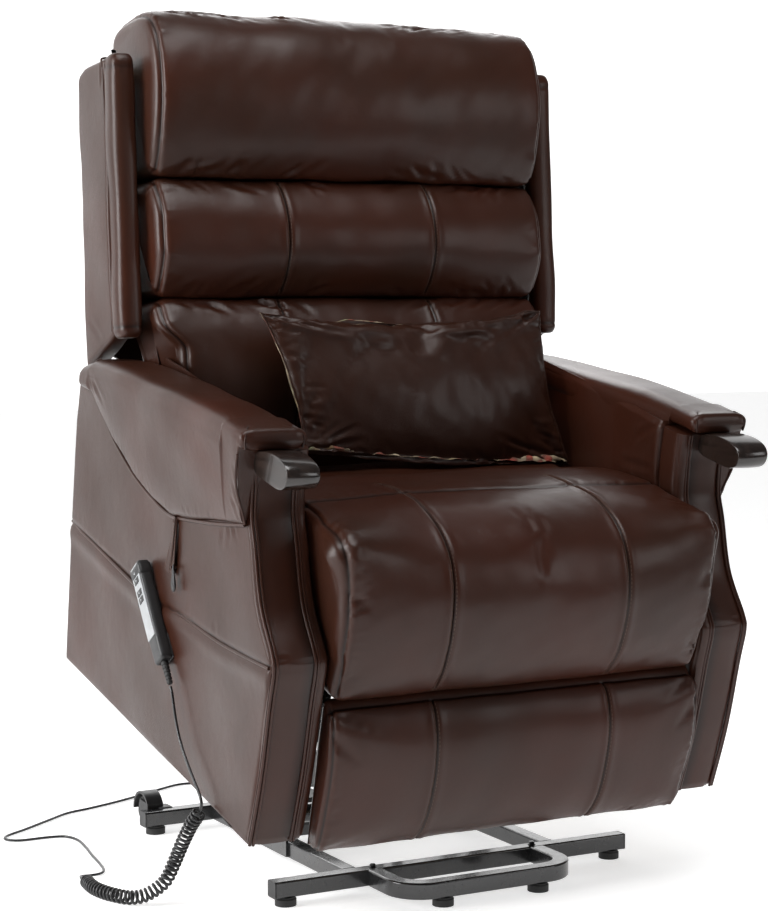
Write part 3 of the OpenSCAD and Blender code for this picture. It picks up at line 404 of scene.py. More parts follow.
def cushion(outline, half, edge, crown, cap, flare=(0, 1, 1), seams=(), rings=(), hold=(), gap=10, shape=None,
            draw=0.82, base=5.0, hidden=()):
    """The surface of a padded cushion along X, and how far its points lie in seams, which the leather paints as
    shade.

    seams are lines of stitching at x between two places of the outline: (x, from, to, depth).
    rings are seams at one place of the outline: (place, depth, width). hold are places that the filling can't move.
    hidden is a stretch of places with coarse points. shape(surface) gives further moves along the normals, and more
    painted shade.
    """
    count = len(outline)
    dense = np.linspace(0, count, count * 40 + 1)
    run = run_of(outline_at(outline, dense)[:, :2])
    places = np.interp(np.linspace(0, run[-1], int(run[-1] / gap) + 1)[:-1], run, dense)
    xs = blend_rows(half, edge, gap)
    ring = outline_at(outline, places)
    ahead = outline_at(outline, places + 0.35) - outline_at(outline, places - 0.35)
    outward = unit(np.stack([-ahead[:, 1], ahead[:, 0]], axis=1))
    inset = np.clip((np.abs(xs) - half + edge) / edge, 0, 1)
    swell = 0.5 * crown * (1 - (xs / half) ** 2)
    move = swell[:, None] * ring[None, :, 2] - (draw * edge * (1 - np.sqrt(1 - inset ** 2)))[:, None]
    grid = np.empty((len(xs), len(ring), 3))
    grid[..., 0] = xs[:, None]
    grid[..., 1] = ring[None, :, 0] + move * outward[None, :, 0]
    grid[..., 2] = ring[None, :, 1] + move * outward[None, :, 1]
    share = outline_at([(0, 0, p[2]) for p in outline], places)[:, 2]
    fixed = 1 - ease(np.clip(share, 0, 1) * 3)
    for place in hold:
        away = np.abs(np.mod(places - place + count / 2, count) - count / 2)
        fixed = np.maximum(fixed, line_mark(away, 0.12))
    held = np.maximum(fixed[None, :], ease((np.abs(xs) - half + 0.55 * edge) / (0.45 * edge))[:, None])
    grid = swollen(grid, held, cap)
    fine_x = -spaced(-half, half, base, [x for x, *_ in seams] + [half - 0.3 * edge, 0.3 * edge - half])
    near = [np.interp(place, dense, run) for place, *_ in rings]
    fine_run = spaced(0, run[-1], base, near)
    if hidden:
        low, high = np.interp(hidden, dense, run)
        skip = (fine_run > low + 8) & (fine_run < high - 8)
        fine_run = np.concatenate([fine_run[~skip], np.arange(low + 12, high - 9, 12)])
        fine_run.sort()
    fine_places = np.interp(fine_run[:-1], run, dense)
    rows = np.interp(-fine_x, -xs, np.arange(len(xs)))
    cols = np.interp(fine_places, np.append(places, count), np.arange(len(places) + 1))
    grid = resample(grid, rows, cols)
    surface = Surface(grid, fine_x, fine_places)
    out = np.zeros(grid.shape[:2])
    # seam is painted shade: the stitched grooves and the ring seams darken the leather's colour.
    seam = np.zeros(grid.shape[:2])
    x, p = fine_x[:, None], fine_places[None, :]
    for at, start, end, depth in seams:
        within = ease((p - start) / 0.2) * ease((end - p) / 0.2)
        groove = line_mark(x - at, 1.5) * within
        out += within * depth * (0.55 * line_mark(np.abs(x - at) - 7.5, 4.5) - line_mark(x - at,
                2.2)) - groove * 0.5
        seam += groove
    for at, depth, width in rings:
        away = np.interp(fine_places, dense, run) - np.interp(at, dense, run)
        out -= (depth * line_mark(away, width))[None, :]
        seam += (0.8 * line_mark(away, width * 0.7))[None, :]
    if shape:
        more, dark = shape(surface, x, p)
        out, seam = out + more, seam + dark
    grid = grid + surface.normals * out[..., None]
    wide = 1 + (flare[2] - 1) * ease((grid[..., 2] - flare[0]) / (flare[1] - flare[0]))
    grid[..., 0] *= wide
    return Surface(grid, fine_x, fine_places), np.clip(seam, 0, 1)


def super_ring(a0, a1, b0, b1, count, power):
    """A round-cornered ring from a0 to a1 and b0 to b1."""
    t = 2 * math.pi * np.arange(count) / count
    round_off = lambda v: np.sign(v) * np.abs(v) ** (2 / power)
    return np.stack([(a0 + a1) / 2 + (a1 - a0) / 2 * round_off(np.cos(t)),
                     (b0 + b1) / 2 + (b1 - b0) / 2 * round_off(np.sin(t))], axis=1)


def side_of(points, side):
    """The same points on the sitter's left (1) or right (-1)."""
    points = np.array(points, float)
    points[..., 0] *= side
    return points


# ---- Finishes ----

class Look:
    """A material's nodes, with short calls that add to them."""

    def __init__(self, name, roughness=0.5, metallic=0.0, specular=0.5, coat=0.0, coat_roughness=0.2):
        self.material = bpy.data.materials.new(name)
        self.material.use_nodes = True
        self.tree = self.material.node_tree
        self.shader = self.tree.nodes["Principled BSDF"]
        self.shader.inputs["Roughness"].default_value = roughness
        self.shader.inputs["Metallic"].default_value = metallic
        self.shader.inputs["Specular IOR Level"].default_value = specular
        self.shader.inputs["Coat Weight"].default_value = coat
        self.shader.inputs["Coat Roughness"].default_value = coat_roughness
        self.coords = self.tree.nodes.new("ShaderNodeTexCoord").outputs["Object"]
        self.last_bump = None

    def link(self, a, b):
        self.tree.links.new(a, b)

    def stretched(self, scale):
        node = self.tree.nodes.new("ShaderNodeMapping")
        node.inputs["Scale"].default_value = scale
        self.link(self.coords, node.inputs["Vector"])
        return node.outputs["Vector"]

    def noise(self, scale, detail=3.0, roughness=0.5, coords=None):
        node = self.tree.nodes.new("ShaderNodeTexNoise")
        node.inputs["Scale"].default_value = scale
        node.inputs["Detail"].default_value = detail
        node.inputs["Roughness"].default_value = roughness
        self.link(coords or self.coords, node.inputs["Vector"])
        return node.outputs["Fac"]

    def cells(self, scale, feature="F1", coords=None, output="Distance"):
        node = self.tree.nodes.new("ShaderNodeTexVoronoi")
        node.feature = feature
        node.inputs["Scale"].default_value = scale
        self.link(coords or self.coords, node.inputs["Vector"])
        return node.outputs[output]

    def ramp(self, factor, stops):
        node = self.tree.nodes.new("ShaderNodeValToRGB")
        ramp = node.color_ramp
        for _ in stops[2:]:
            ramp.elements.new(0.5)
        for element, (place, colour) in zip(ramp.elements, stops):
            element.position = place
            element.color = (*colour, 1) if isinstance(colour, tuple) else (colour, colour, colour, 1)
        self.link(factor, node.inputs["Fac"])
        return node.outputs["Color"]

    def mix(self, factor, a, b, kind="MIX"):
        node = self.tree.nodes.new("ShaderNodeMix")
        node.data_type = "RGBA"
        node.blend_type = kind
        for socket, value in ((node.inputs["Factor"], factor), (node.inputs["A"], a), (node.inputs["B"], b)):
            self.put(value, socket)
        return node.outputs["Result"]

    def put(self, value, socket):
        if isinstance(value, bpy.types.NodeSocket):
            self.link(value, socket)
        elif isinstance(value, tuple):
            socket.default_value = (*value[:3], 1)
        else:
            socket.default_value = value

    def attribute(self, name):
        node = self.tree.nodes.new("ShaderNodeAttribute")
        node.attribute_name = name
        return node.outputs["Fac"]

    def bump(self, height, strength, distance):
        node = self.tree.nodes.new("ShaderNodeBump")
        node.inputs["Strength"].default_value = strength
        node.inputs["Distance"].default_value = distance
        self.link(height, node.inputs["Height"])
        if self.last_bump:
            self.link(self.last_bump, node.inputs["Normal"])
        self.last_bump = node.outputs["Normal"]
        return self

    def done(self, colour, roughness=None):
        self.put(colour, self.shader.inputs["Base Color"])
        if roughness is not None:
            self.put(roughness, self.shader.inputs["Roughness"])
        if self.last_bump:
            self.link(self.last_bump, self.shader.inputs["Normal"])
        return self.material


def shade(colour, factor):
    return tuple(c * factor for c in colour)


def leather(name, colour, red, pebble=700.0, pebble_depth=0.16):
    look = Look(name, specular=0.28, coat=0.08, coat_roughness=0.2)
    patches = look.ramp(look.noise(3.4, 3, 0.5), [(0.42, 0.0), (0.78, 0.7)])
    tone = look.mix(patches, colour, red)
    worn = look.ramp(look.noise(11, 5, 0.65), [(0.4, 0.0), (0.75, 0.35)])
    tone = look.mix(worn, tone, shade(colour, 1.35))
    creases = look.cells(pebble, "DISTANCE_TO_EDGE")
    lines = look.ramp(creases, [(0.0, 0.0), (0.12, 1.0)])
    # Painted shade in the grain's creases: the colour darkens along the pebble lines.
    tone = look.mix(look.ramp(lines, [(0.0, 0.22), (1.0, 0.0)]), tone, shade(colour, 0.35))
    # Painted shade: the seam attribute darkens the leather towards black in seam grooves, beside welts and on some
    # piping.
    tone = look.mix(look.attribute("seam"), tone, shade(colour, 0.12))
    look.bump(lines, pebble_depth, 0.0004)
    look.bump(look.noise(pebble * 0.22, 4, 0.6), 0.12, 0.0011)
    look.bump(look.noise(26, 3, 0.55), 0.10, 0.006)
    gloss = look.ramp(look.noise(9, 3), [(0.3, 0.29), (0.75, 0.40)])
    return look.done(tone, gloss)


def painted_steel(name, colour):
    look = Look(name, roughness=0.22, specular=0.6, coat=0.5, coat_roughness=0.12)
    dust = look.ramp(look.noise(34, 5, 0.7), [(0.5, 0.0), (0.85, 0.35)])
    look.bump(look.noise(420, 3, 0.6), 0.05, 0.0003)
    return look.done(look.mix(dust, colour, shade(colour, 2.6)), look.ramp(look.noise(60, 4),
            [(0.3, 0.18), (0.8, 0.34)]))


def bright_steel(name, colour):
    look = Look(name, roughness=0.3, metallic=1.0)
    brushed = look.noise(130, 4, 0.6, look.stretched((12, 1, 12)))
    look.bump(brushed, 0.08, 0.0002)
    return look.done(look.ramp(brushed, [(0.3, shade(colour, 0.75)), (0.7, colour)]),
                     look.ramp(brushed, [(0.3, 0.2), (0.7, 0.36)]))


def moulded_plastic(name, colour, roughness=0.42, grain=900.0):
    look = Look(name, specular=0.5)
    look.bump(look.cells(grain), 0.12, 0.0002)
    wear = look.ramp(look.noise(45, 4, 0.6), [(0.45, 0.0), (0.8, 0.3)])
    return look.done(look.mix(wear, colour, shade(colour, 1.7)),
                     look.ramp(look.noise(70, 3), [(0.3, roughness - 0.06), (0.8, roughness + 0.08)]))


def wood(name, colour, dark, roughness, coat, grain=(60, 5, 60)):
    look = Look(name, specular=0.5, coat=coat, coat_roughness=0.08)
    figure = look.noise(1.0, 6, 0.62, look.stretched(grain))
    pores = look.noise(4.5, 3, 0.5, look.stretched(grain))
    tone = look.mix(look.ramp(figure, [(0.38, 0.0), (0.64, 1.0)]), dark, colour)
    tone = look.mix(look.ramp(pores, [(0.55, 0.0), (0.72, 0.5)]), tone, shade(dark, 0.5))
    look.bump(pores, 0.05, 0.0003)
    return look.done(tone, look.ramp(figure, [(0.3, roughness), (0.8, roughness + 0.08)]))


def webbing(name, colour):
    look = Look(name, roughness=0.85)
    weave = look.cells(520, coords=look.stretched((1, 0.45, 1)))
    look.bump(weave, 0.5, 0.0008)
    # Painted light and shade: each cell of the weave is lighter in its middle, where a thread's top is lit, and
    # darker at its edges, where shade falls between threads.
    return look.done(look.ramp(weave, [(0.1, shade(colour, 1.5)), (0.6, shade(colour, 0.5))]))


def patterned_cloth(name):
    look = Look(name, roughness=0.85, specular=0.25)
    cell = look.tree.nodes.new("ShaderNodeTexVoronoi")
    cell.inputs["Scale"].default_value = 55
    look.link(look.coords, cell.inputs["Vector"])
    apart = look.tree.nodes.new("ShaderNodeSeparateColor")
    look.link(cell.outputs["Color"], apart.inputs["Color"])
    tone = look.ramp(apart.outputs["Red"], [(0.0, (0.52, 0.42, 0.27)), (0.34, (0.5, 0.39, 0.22)),
            (0.36, (0.34, 0.03, 0.02)),
                                            (0.62, (0.3, 0.03, 0.02)), (0.64, (0.07, 0.12, 0.04)), (0.8,
                                            (0.6, 0.5, 0.34))])
    tone = look.mix(look.ramp(cell.outputs["Distance"], [(0.2, 0.0), (0.5, 0.75)]), tone, (0.05, 0.025, 0.02))
    threads = look.noise(900, 2, 0.5)
    look.bump(threads, 0.3, 0.0005)
    return look.done(look.mix(look.ramp(threads, [(0.4, 0.0), (0.7, 0.25)]), tone, (0.6, 0.5, 0.36)))


LOOKS = {}


def make_looks(colours):
    LOOKS.update(
        leather=leather("leather_brown", tuple(colours.leather), tuple(colours.leather_red)),
        leather_fine=leather("leather_pebbled", tuple(shade(colours.leather, 0.9)),
                tuple(shade(colours.leather, 1.05)),
                             430.0, 0.3),
        thread=Look("thread", roughness=0.7).done(tuple(colours.thread)),
        steel_black=painted_steel("steel_black", tuple(colours.steel)),
        steel_bright=bright_steel("steel_bright", (0.6, 0.6, 0.62)),
        plastic=moulded_plastic("plastic_black", (0.018, 0.018, 0.019)),
        plastic_grey=moulded_plastic("plastic_grey", (0.33, 0.34, 0.35), 0.38),
        rubber=moulded_plastic("rubber_black", (0.014, 0.014, 0.014), 0.62, 500.0),
        wood_frame=wood("wood_pine", (0.62, 0.44, 0.26), (0.44, 0.28, 0.14), 0.6, 0.0),
        wood_grip=wood("wood_ebony", tuple(colours.grip), shade(colours.grip, 0.35), 0.2, 0.3),
        webbing=webbing("webbing_black", (0.035, 0.032, 0.03)),
        cloth=patterned_cloth("cloth_patterned"),
        cord=moulded_plastic("cord_black", (0.012, 0.012, 0.013), 0.3, 1500.0),
    )


def dress_frame():
    """Every CAD part that stays in sight gets the finish of its material slot."""
    for item in frame["record"]["subparts"]:
        slot = item["material_slot"]
        piece = frame["nodes"][item["node"]]
        if not piece.material_slots:
            piece.data.materials.append(LOOKS[slot])
        for place in piece.material_slots:
            place.material = LOOKS[slot]


# ---- Upholstery ----

SKIN = ("leather", "thread")


def skins(*names):
    return [LOOKS[name] for name in (names or SKIN)]


def rim_groove(x, p, at, start, end, depth, width=2.4):
    """A sewn edge at x = at and -at, between two places of the outline: its move, and the painted shade in its
    groove.
    """
    within = ease((p - start) / 0.3) * ease((end - p) / 0.3)
    line = line_mark(np.abs(x) - at, width) * within
    swell = line_mark(np.abs(x) - at + 3.2 * width, 2 * width) * within
    return depth * (0.4 * swell - line), 0.9 * line_mark(np.abs(x) - at, width * 0.5) * within


def sewn_rows(build, surface, x, start, end, gap=3.0):
    for away in (-gap, gap):
        build.stitches(surface.line(x + away, (start, end), 0.25))


def make_seat():
    z, h, low = 293.3, 462, 214
    outline = [(60, z, 0), (57, low + 8, 0), (40, low, 0), (-12, low + 1, 0), (-28, low + 8, 0.3), (-36,
            low + 40, 0.7),
               (-46, low + 100, 1), (-44, h - 100, 1), (-30, h - 46, 0.9), (2, h - 19, 0.5), (60, h - 8, 0.3),
               (118, h - 4, 0.25), (200, h - 10, 0.25), (290, h - 28, 0.2), (380, h - 54, 0), (470, h - 64,
               0),
               (494, h - 84, 0), (496, z + 30, 0), (484, z, 0), (240, z, 0)]
    half, edge = 308, 26
    at = half - 0.35 * edge

    def shape(s, x, p):
        pleats = []
        for side in (1, -1):
            pleats += s.pleats(side * at, (4.0, 9.4), (-side * 30, 0.0), 46, 5 + side, 1.5, 2.0, 26)
            pleats += s.pleats(side * at, (8.2, 9.8), (-side * 40, 0.5), 12, 9 + side, 2.4, 3.2, 40)
            pleats += s.pleats((side * 150, side * 290), 11.1, (0, 0.5), 7, 20 + side, 1.2, 3.6, 34)
        out, dark = rim_groove(x, p, at, 3.6, 12.5, 3.0)
        out = out + 13 * line_mark(p - 8.6, 0.8) * ease((np.abs(x) - 170) / 130)
        return out + folds(s.grid, pleats) + waves(s.grid, 3, 130, 1.1) + waves(s.grid, 4, 46, 0.25), dark

    seams = [(side * 144, 3.7, 12.1, 2.6) for side in (1, -1)]
    surface, seam = cushion(outline, half, edge, 16, 15, seams=seams, rings=[(11.1, 2.4, 7)], hold=(3.4,),
            shape=shape,
                            hidden=(13.6, 20))
    surface = spread(surface, 4.5, lambda y, z: (post_at(z) - 5 - y) / 30)
    build = Build().grid(surface.grid, seam)
    for x, start, end, _ in seams:
        sewn_rows(build, surface, x, start, end)
    build.finish("seat_upholstery", CHAIR, skins(), "carriage", ["seat_cushion"], "leather", 0.8)


def spread(surface, wider, share):
    """The same surface with its ends pushed out where a share of (y, z) lets it, as foam does between hard
    sides.
    """
    grid = surface.grid.copy()
    x, y, z = grid[..., 0], grid[..., 1], grid[..., 2]
    grid[..., 0] = x + wider * x / np.abs(x).max() * ease(share(y, z))
    return Surface(grid, surface.rows, surface.cols)


def make_footrest_pad():
    b, t, face = -12, 203, 4.7
    outline = [(face, b + 2, 0), (-6, b, 0), (-22, b + 1, 0.2), (-36, b + 18, 0.8), (-44, b + 64, 1), (-50,
            b + 130, 1),
               (-46, t - 36, 1), (-38, t - 10, 0.6), (-22, t, 0.1), (face, t - 8, 0)]
    half, edge = 308, 13
    at = half - 0.4 * edge

    def shape(s, x, p):
        pleats = []
        for side in (1, -1):
            pleats += s.pleats(side * at, (2.0, 7.6), (-side * 24, 0.0), 30, 31 + side, 1.2, 2.0, 20)
        pleats += s.pleats((270, -270), 2.3, (0, 0.6), 30, 35, 0.8, 2.4, 22)
        out, dark = rim_groove(x, p, at, 1.6, 8.4, 2.2)
        return out + folds(s.grid, pleats) + waves(s.grid, 13, 120, 1.0), dark

    seams = [(side * 144, 1.9, 8.1, 2.2) for side in (1, -1)]
    surface, seam = cushion(outline, half, edge, 10, 11, seams=seams, rings=[(8.0, 1.6, 3.0)], shape=shape,
            gap=9,
                            hidden=(9.1, 10))
    surface = spread(surface, 3.0, lambda y, z: (-22 - y) / 12)
    build = Build().grid(surface.grid, seam)
    for x, start, end, _ in seams:
        sewn_rows(build, surface, x, start, end)
    build.finish("footrest_upholstery", CHAIR, skins(), "footrest", ["footrest_pad"], "leather", 0.8)


def back_section(name, node, outline, half, crown, seams, holds, pleat_lines, seed, flare=(0, 1, 1),
        hidden=None, cap=17):
    edge = 30
    at = half - 0.3 * edge

    def shape(s, x, p):
        pleats = []
        for side in (1, -1):
            pleats += s.pleats(side * at, (holds[0] + 0.4, holds[1] - 0.3), (-side * 30, 0.0), 34,
                    seed + side, 1.4, 2.2, 26)
            for row, start, away in pleat_lines:
                pleats += s.pleats((side * (half - 30), side * 80), start, (-side * row, away), 16,
                        seed + 3 + side, 2.2,
                                   4.5, 46)
        out, dark = rim_groove(x, p, at, holds[0] - 0.2, holds[1] + 0.2, 3.0)
        return out + folds(s.grid, pleats) + waves(s.grid, seed, 140, 1.4) + waves(s.grid, seed + 1, 50,
                0.3), dark

    surface, seam = cushion(outline, half, edge, crown, cap, flare=flare, seams=seams, hold=holds,
            shape=shape,
                            hidden=hidden or (len(outline) - 0.95, len(outline) - 0.05))
    build = Build().grid(surface.grid, seam)
    for x, start, end, _ in seams:
        sewn_rows(build, surface, x, start, end)
    build.finish(name, BACK, skins(), "back", [node], "leather", 0.85)


def make_back():
    face, low, high, top = -45.3, 383, 570, 836
    t = low - 0.5
    back_section("lower_upholstery", "lower_cushion",
                 [(face, 140, 0), (-150, 140, 0), (-166, 152, 0.5), (-180, 200, 0.9), (-192, 262, 1), (-190,
                 320, 1),
                  (-172, t - 22, 0.6), (-146, t, 0), (face, t, 0)], 318, 14,
                 [(side * 125, 2.6, 6.9, 2.4) for side in (1, -1)], (1.2, 6.9), [(26, 6.7, -0.5)], 51,
                 (300, 345, 350 / 318))
    b, t = low + 0.5, high - 0.5
    back_section("middle_upholstery", "middle_cushion",
                 [(face, b, 0), (-146, b, 0), (-172, b + 20, 0.6), (-192, b + 62, 1), (-194, (b + t) / 2, 1),
                  (-190, t - 52, 1), (-172, t - 18, 0.6), (-146, t, 0), (face, t, 0)], 350, 14,
                 [(side * 132, 1.3, 6.8, 2.4) for side in (1, -1)], (1.1, 6.9), [(26, 6.7, -0.5),
                 (20, 1.3, 0.5)], 61)
    b = high + 0.5
    back_section("head_upholstery", "head_cushion",
                 [(face, b, 0), (-150, b, 0), (-176, b + 16, 0.6), (-198, b + 70, 1), (-208, top - 136, 1),
                  (-201, top - 74, 1), (-180, top - 30, 0.8), (-146, top - 9, 0.5), (-84, top - 4, 0.4),
                  (-30, top - 12, 0.2), (-8, top - 36, 0), (-8, 763.3, 0), (face, 763.3, 0)], 350, 14,
                 [], (1.1, 9.2), [(18, 1.4, 0.5), (40, 7.0, -0.4)], 71, hidden=(11.2, 12.9))


def slab(corner, x0, x1, us, vs, puff=2.0, edge=8.0, inner=(1.0, 0.66, 0.33, 0.0), inner_x=None):
    """A padded panel: corner(u, v) gives (y, z), x0 is its flat face and x1 its padded one. u and v run
    from 0 to 1.
    """
    u, v = np.array(us)[None, :], np.array(vs)[:, None]
    y, z = corner(u, v)
    y, z = np.broadcast_to(y, (len(vs), len(us))), np.broadcast_to(z, (len(vs), len(us)))
    wide = np.abs(y[:, -1:] - y[:, :1]).mean()
    tall = np.abs(z[-1:, :] - z[:1, :]).mean()
    away = np.minimum(np.minimum(u, 1 - u) * wide, np.minimum(v, 1 - v) * tall)
    near = 1 - np.clip(away / edge, 0, 1)
    way = np.sign(x1 - x0)
    x = x1 - way * edge * (1 - np.sqrt(np.clip(1 - near ** 2, 0, 1))) * 0.85
    x = x + way * puff * np.sqrt(np.sin(math.pi * np.clip(u, 0, 1)) * np.sin(math.pi * np.clip(v, 0, 1)))
    outer = np.stack([x, y, z], axis=-1)
    back_u = np.array(inner)[None, :]
    by, bz = corner(back_u, v)
    bx = np.full(np.broadcast_shapes(by.shape, bz.shape, (len(vs), len(inner))), float(x0))
    if inner_x is not None:
        bx = bx + inner_x(back_u, v)
    rear = np.stack(np.broadcast_arrays(bx, by, bz), axis=-1)
    return np.concatenate([outer, rear], axis=1)


POST_FRONT = np.array([(0, -4), (-14, 104), (-18, 214), (-21, 266), (-11, 288), (38, 341), (73, 414), (91,
        450),
                       (98, 497), (99, 520)], float)
DRAPE_EDGE = np.array([(98, 438), (178, 413), (262, 390), (343, 371), (410, 373), (493, 386), (582, 415),
        (640, 446),
                       (656, 459)], float)
SIDE_WELT = np.array([(754, 226), (657, 224), (409, 217), (277, 234), (145, 244), (-8, 267)], float)


def post_at(z):
    """How far forward the front line of a post stands at a height, with its knee a little rounded."""
    smooth = route_at(POST_FRONT, 12)
    return np.interp(z, smooth[:, 1], smooth[:, 0])


def panel_rear(z):
    return np.interp(z, [-9, 226, 397, 455, 497], [732, 750, 761, 759, 757])


def panel_top(y):
    return np.interp(y, [540, 640, 702], [496, 466, 466])


def make_sides():
    vs = np.linspace(0, 1, 122)
    us = np.concatenate([np.linspace(0, 0.03, 7)[:-1], np.linspace(0.03, 0.97, 104), np.linspace(0.97, 1,
            7)[1:]])
    for name, side in (("left", 1), ("right", -1)):
        def corner(u, v):
            y_guess = 50 + 690 * u
            low = -9 * np.clip(y_guess / 732, 0, 1)
            z = low + (panel_top(y_guess) - low) * v
            front = post_at(z) + 7
            return front + (panel_rear(z) - front) * u, z
        grid = slab(corner, 377, 398.2, us, vs, 1.6, 7, (1.0, 0.7, 0.4, 0.078, 0.0745, 0.0),
                    lambda u, v: np.where(u < 0.076, 19.5, 0.0) + 0 * v)
        count = len(us)
        y, z = grid[:, :count, 1], grid[:, :count, 2]
        line = np.interp(y, SIDE_WELT[::-1, 0], SIDE_WELT[::-1, 1])
        away = z - line
        out = -2.6 * line_mark(away - 1, 5) + 2.2 * line_mark(away + 16, 13)
        folded = [((400, 150, 428), (400, 128, 404), 2.0, 3.0), ((400, 158, 424), (400, 150, 386), 1.6, 3.4),
                  ((400, 140, 436), (400, 124, 424), 1.8, 2.4), ((400, 172, 410), (400, 176, 378), 1.2, 4.0)]
        rng = np.random.default_rng(81 + side)
        for _ in range(16):
            where = rng.uniform(60, 730)
            base = float(np.interp(where, SIDE_WELT[::-1, 0], SIDE_WELT[::-1, 1]))
            folded.append(((400, where, base + 4), (400, where + rng.uniform(-9, 9),
                    base + rng.uniform(14, 34)), 0.8, 3.0))
        out = out + folds(grid[:, :count], folded) + waves(grid[:, :count], 83 + side, 190, 1.3)
        out *= ease(np.minimum(vs, 1 - vs) * 40)[:, None]
        grid[:, :count, 0] += out
        seam = np.zeros(grid.shape[:2])
        # Painted shade in a line along the welt's upper side.
        seam[:, :count] = 0.75 * line_mark(away - 3.4, 1.6)
        build = Build().grid(side_of(grid, side), seam)
        path = even(route_at(SIDE_WELT, 16), 4)
        lift = np.interp(path[:, 0], [-8, 60, 700, 754], [397.6, 397.4, 397.6, 394.0])
        build.tube(side_of(np.stack([lift, path[:, 0], path[:, 1]], axis=1), side), 2.7, 10)
        build.finish(f"side_upholstery_{name}", CHAIR, skins(), "carriage", [f"side_panel_{name}"],
                "leather", 0.9)

        def inner_corner(u, v):
            z = 10 + (487 - 20 * ease((50 + 650 * u - 540) / 100)) * v
            front = post_at(z) + 51
            return front + (700 - front) * u, z
        grid = slab(inner_corner, 345, 330, np.linspace(0, 1, 60), np.linspace(0, 1, 50), 1.2, 5)
        grid[:, :60, 0] += 0.5 * waves(grid[:, :60], 87 + side, 160, 1.0)
        Build().grid(side_of(grid, side)).finish(f"inner_upholstery_{name}", CHAIR, skins(), "carriage",
                                                 [f"inner_panel_{name}"], "leather", 0.9)


def make_posts():
    zs = np.concatenate([np.linspace(-1, 250, 64), np.linspace(250, 300, 26)[1:], np.linspace(300, 542,
            72)[1:]])
    for name, side in (("left", 1), ("right", -1)):
        rings = []
        for z in zs:
            shrink = 2.5 * (1 - ease(z / 8))
            front = post_at(z)
            ring = super_ring(311.5 + shrink, 396.6 - shrink, front + shrink, front + 49.5, 96, 6)
            rings.append(np.column_stack([ring[:, 0], ring[:, 1], np.full(len(ring), z)]))
        grid = np.array(rings)
        face = grid[..., 1] < (post_at(grid[..., 2]) + 3)
        x = grid[..., 0]
        bulge = (2.2 * np.clip(1 - ((x - 363) / 29) ** 2, 0, 1) ** 0.7
                 + 3.2 * np.clip(1 - ((x - 321) / 10) ** 2, 0, 1) ** 0.6)
        knee = [((338, -20, 279), (372, -20, 285), 2.2, 3.0), ((352, -19, 292), (394, -16, 283), 2.6, 3.4),
                ((340, -8, 300), (366, -5, 296), 1.6, 2.6)]
        out = face * (bulge + waves(grid, 91 + side, 70, 0.6)) + folds(grid, knee)
        # Painted shade in lines beside the welts on the post's front face.
        seam = face * (line_mark(x - 390.4, 1.2) + line_mark(x - 336.4, 1.2)) * 0.9
        grid[..., 1] -= out
        build = Build().grid(side_of(grid, side), seam)
        heights = np.linspace(0, 541, 180)
        front = post_at(heights)
        for at, ahead in ((396.2, 0.6), (391.4, -0.6), (334.2, -1.0), (329.4, -1.0)):
            build.tube(side_of(np.column_stack([np.full(180, at), front + ahead, heights]), side), 2.3, 10)
        build.finish(f"post_upholstery_{name}", CHAIR, skins(), "carriage", [f"front_post_{name}"],
                "leather", 0.9)


PAD_ROWS = np.array([(85.5, 552, 568), (88, 546, 573), (92, 544, 575.5), (148.4, 544, 576), (150.6, 497.6,
        576),
                     (250, 497.6, 571), (375, 497.6, 560), (530, 497.6, 543.5), (600, 483, 536), (652, 469,
                     527),
                     (684, 468, 512), (700, 470, 494)], float)


def arm_ring(y, inset):
    """The arm's cover at y: over the pad, down its outer side to the drape's edge and back under it."""
    z0, z1 = np.interp(y, PAD_ROWS[:, 0], PAD_ROWS[:, 1]), np.interp(y, PAD_ROWS[:, 0], PAD_ROWS[:, 2])
    z0, z1 = z0 + inset * 0.6, z1 - inset
    inner, outer, middle = 324 + inset, 426 - inset, (z0 + z1) / 2
    power = 2 / 3.4
    t = np.linspace(math.pi, 0, 46)
    top = np.stack([(inner + outer) / 2 + (outer - inner) / 2 * np.sign(np.cos(t)) * np.abs(np.cos(t)) ** power,
                    middle + (z1 - middle) * np.abs(np.sin(t)) ** power], axis=1)
    low = float(np.interp(y, DRAPE_EDGE[:, 0], DRAPE_EDGE[:, 1]))
    low = min(low, z0 - 2)
    s = np.linspace(0, 1, 44)[1:]
    profile = 403.4 + (outer - 403.4) * np.clip(1 - s, 0, 1) ** 0.5 * (1 - 0.12 * s)
    lined = 400.9 - 3.3 * float(ease((y - 148.4) / 2.2))
    curl = (402.8 - lined) * (1 - np.sqrt(np.clip(1 - ((s - 0.93) / 0.07).clip(0, 1) ** 2, 0, 1)))
    drape = np.stack([profile - curl, middle + (low - middle) * s], axis=1)
    k = np.linspace(0, math.pi / 2, 44)[1:]
    quarter = np.stack([(inner + outer) / 2 + (outer - inner) / 2 * np.abs(np.cos(k)) ** power,
                        middle - (middle - z0) * np.abs(np.sin(k)) ** power], axis=1)
    share = float(ease((y - 96) / 3.5) * (1 - ease((y - 655) / 5)))
    side = quarter * (1 - share) + drape * share
    under = np.array([[lined, (side[-1][1] * share + z0 * (1 - share))], [lined, z0 + 0.5], [375, z0 + 0.5]])
    under[0, 0] = min(lined, side[-1][0])
    back = np.stack([(inner + outer) / 2 - (outer - inner) / 2 * np.abs(np.cos(k[::-6])) ** power,
                     middle - (middle - z0) * np.abs(np.sin(k[::-6])) ** power], axis=1)
    return np.concatenate([top, side, under, back])


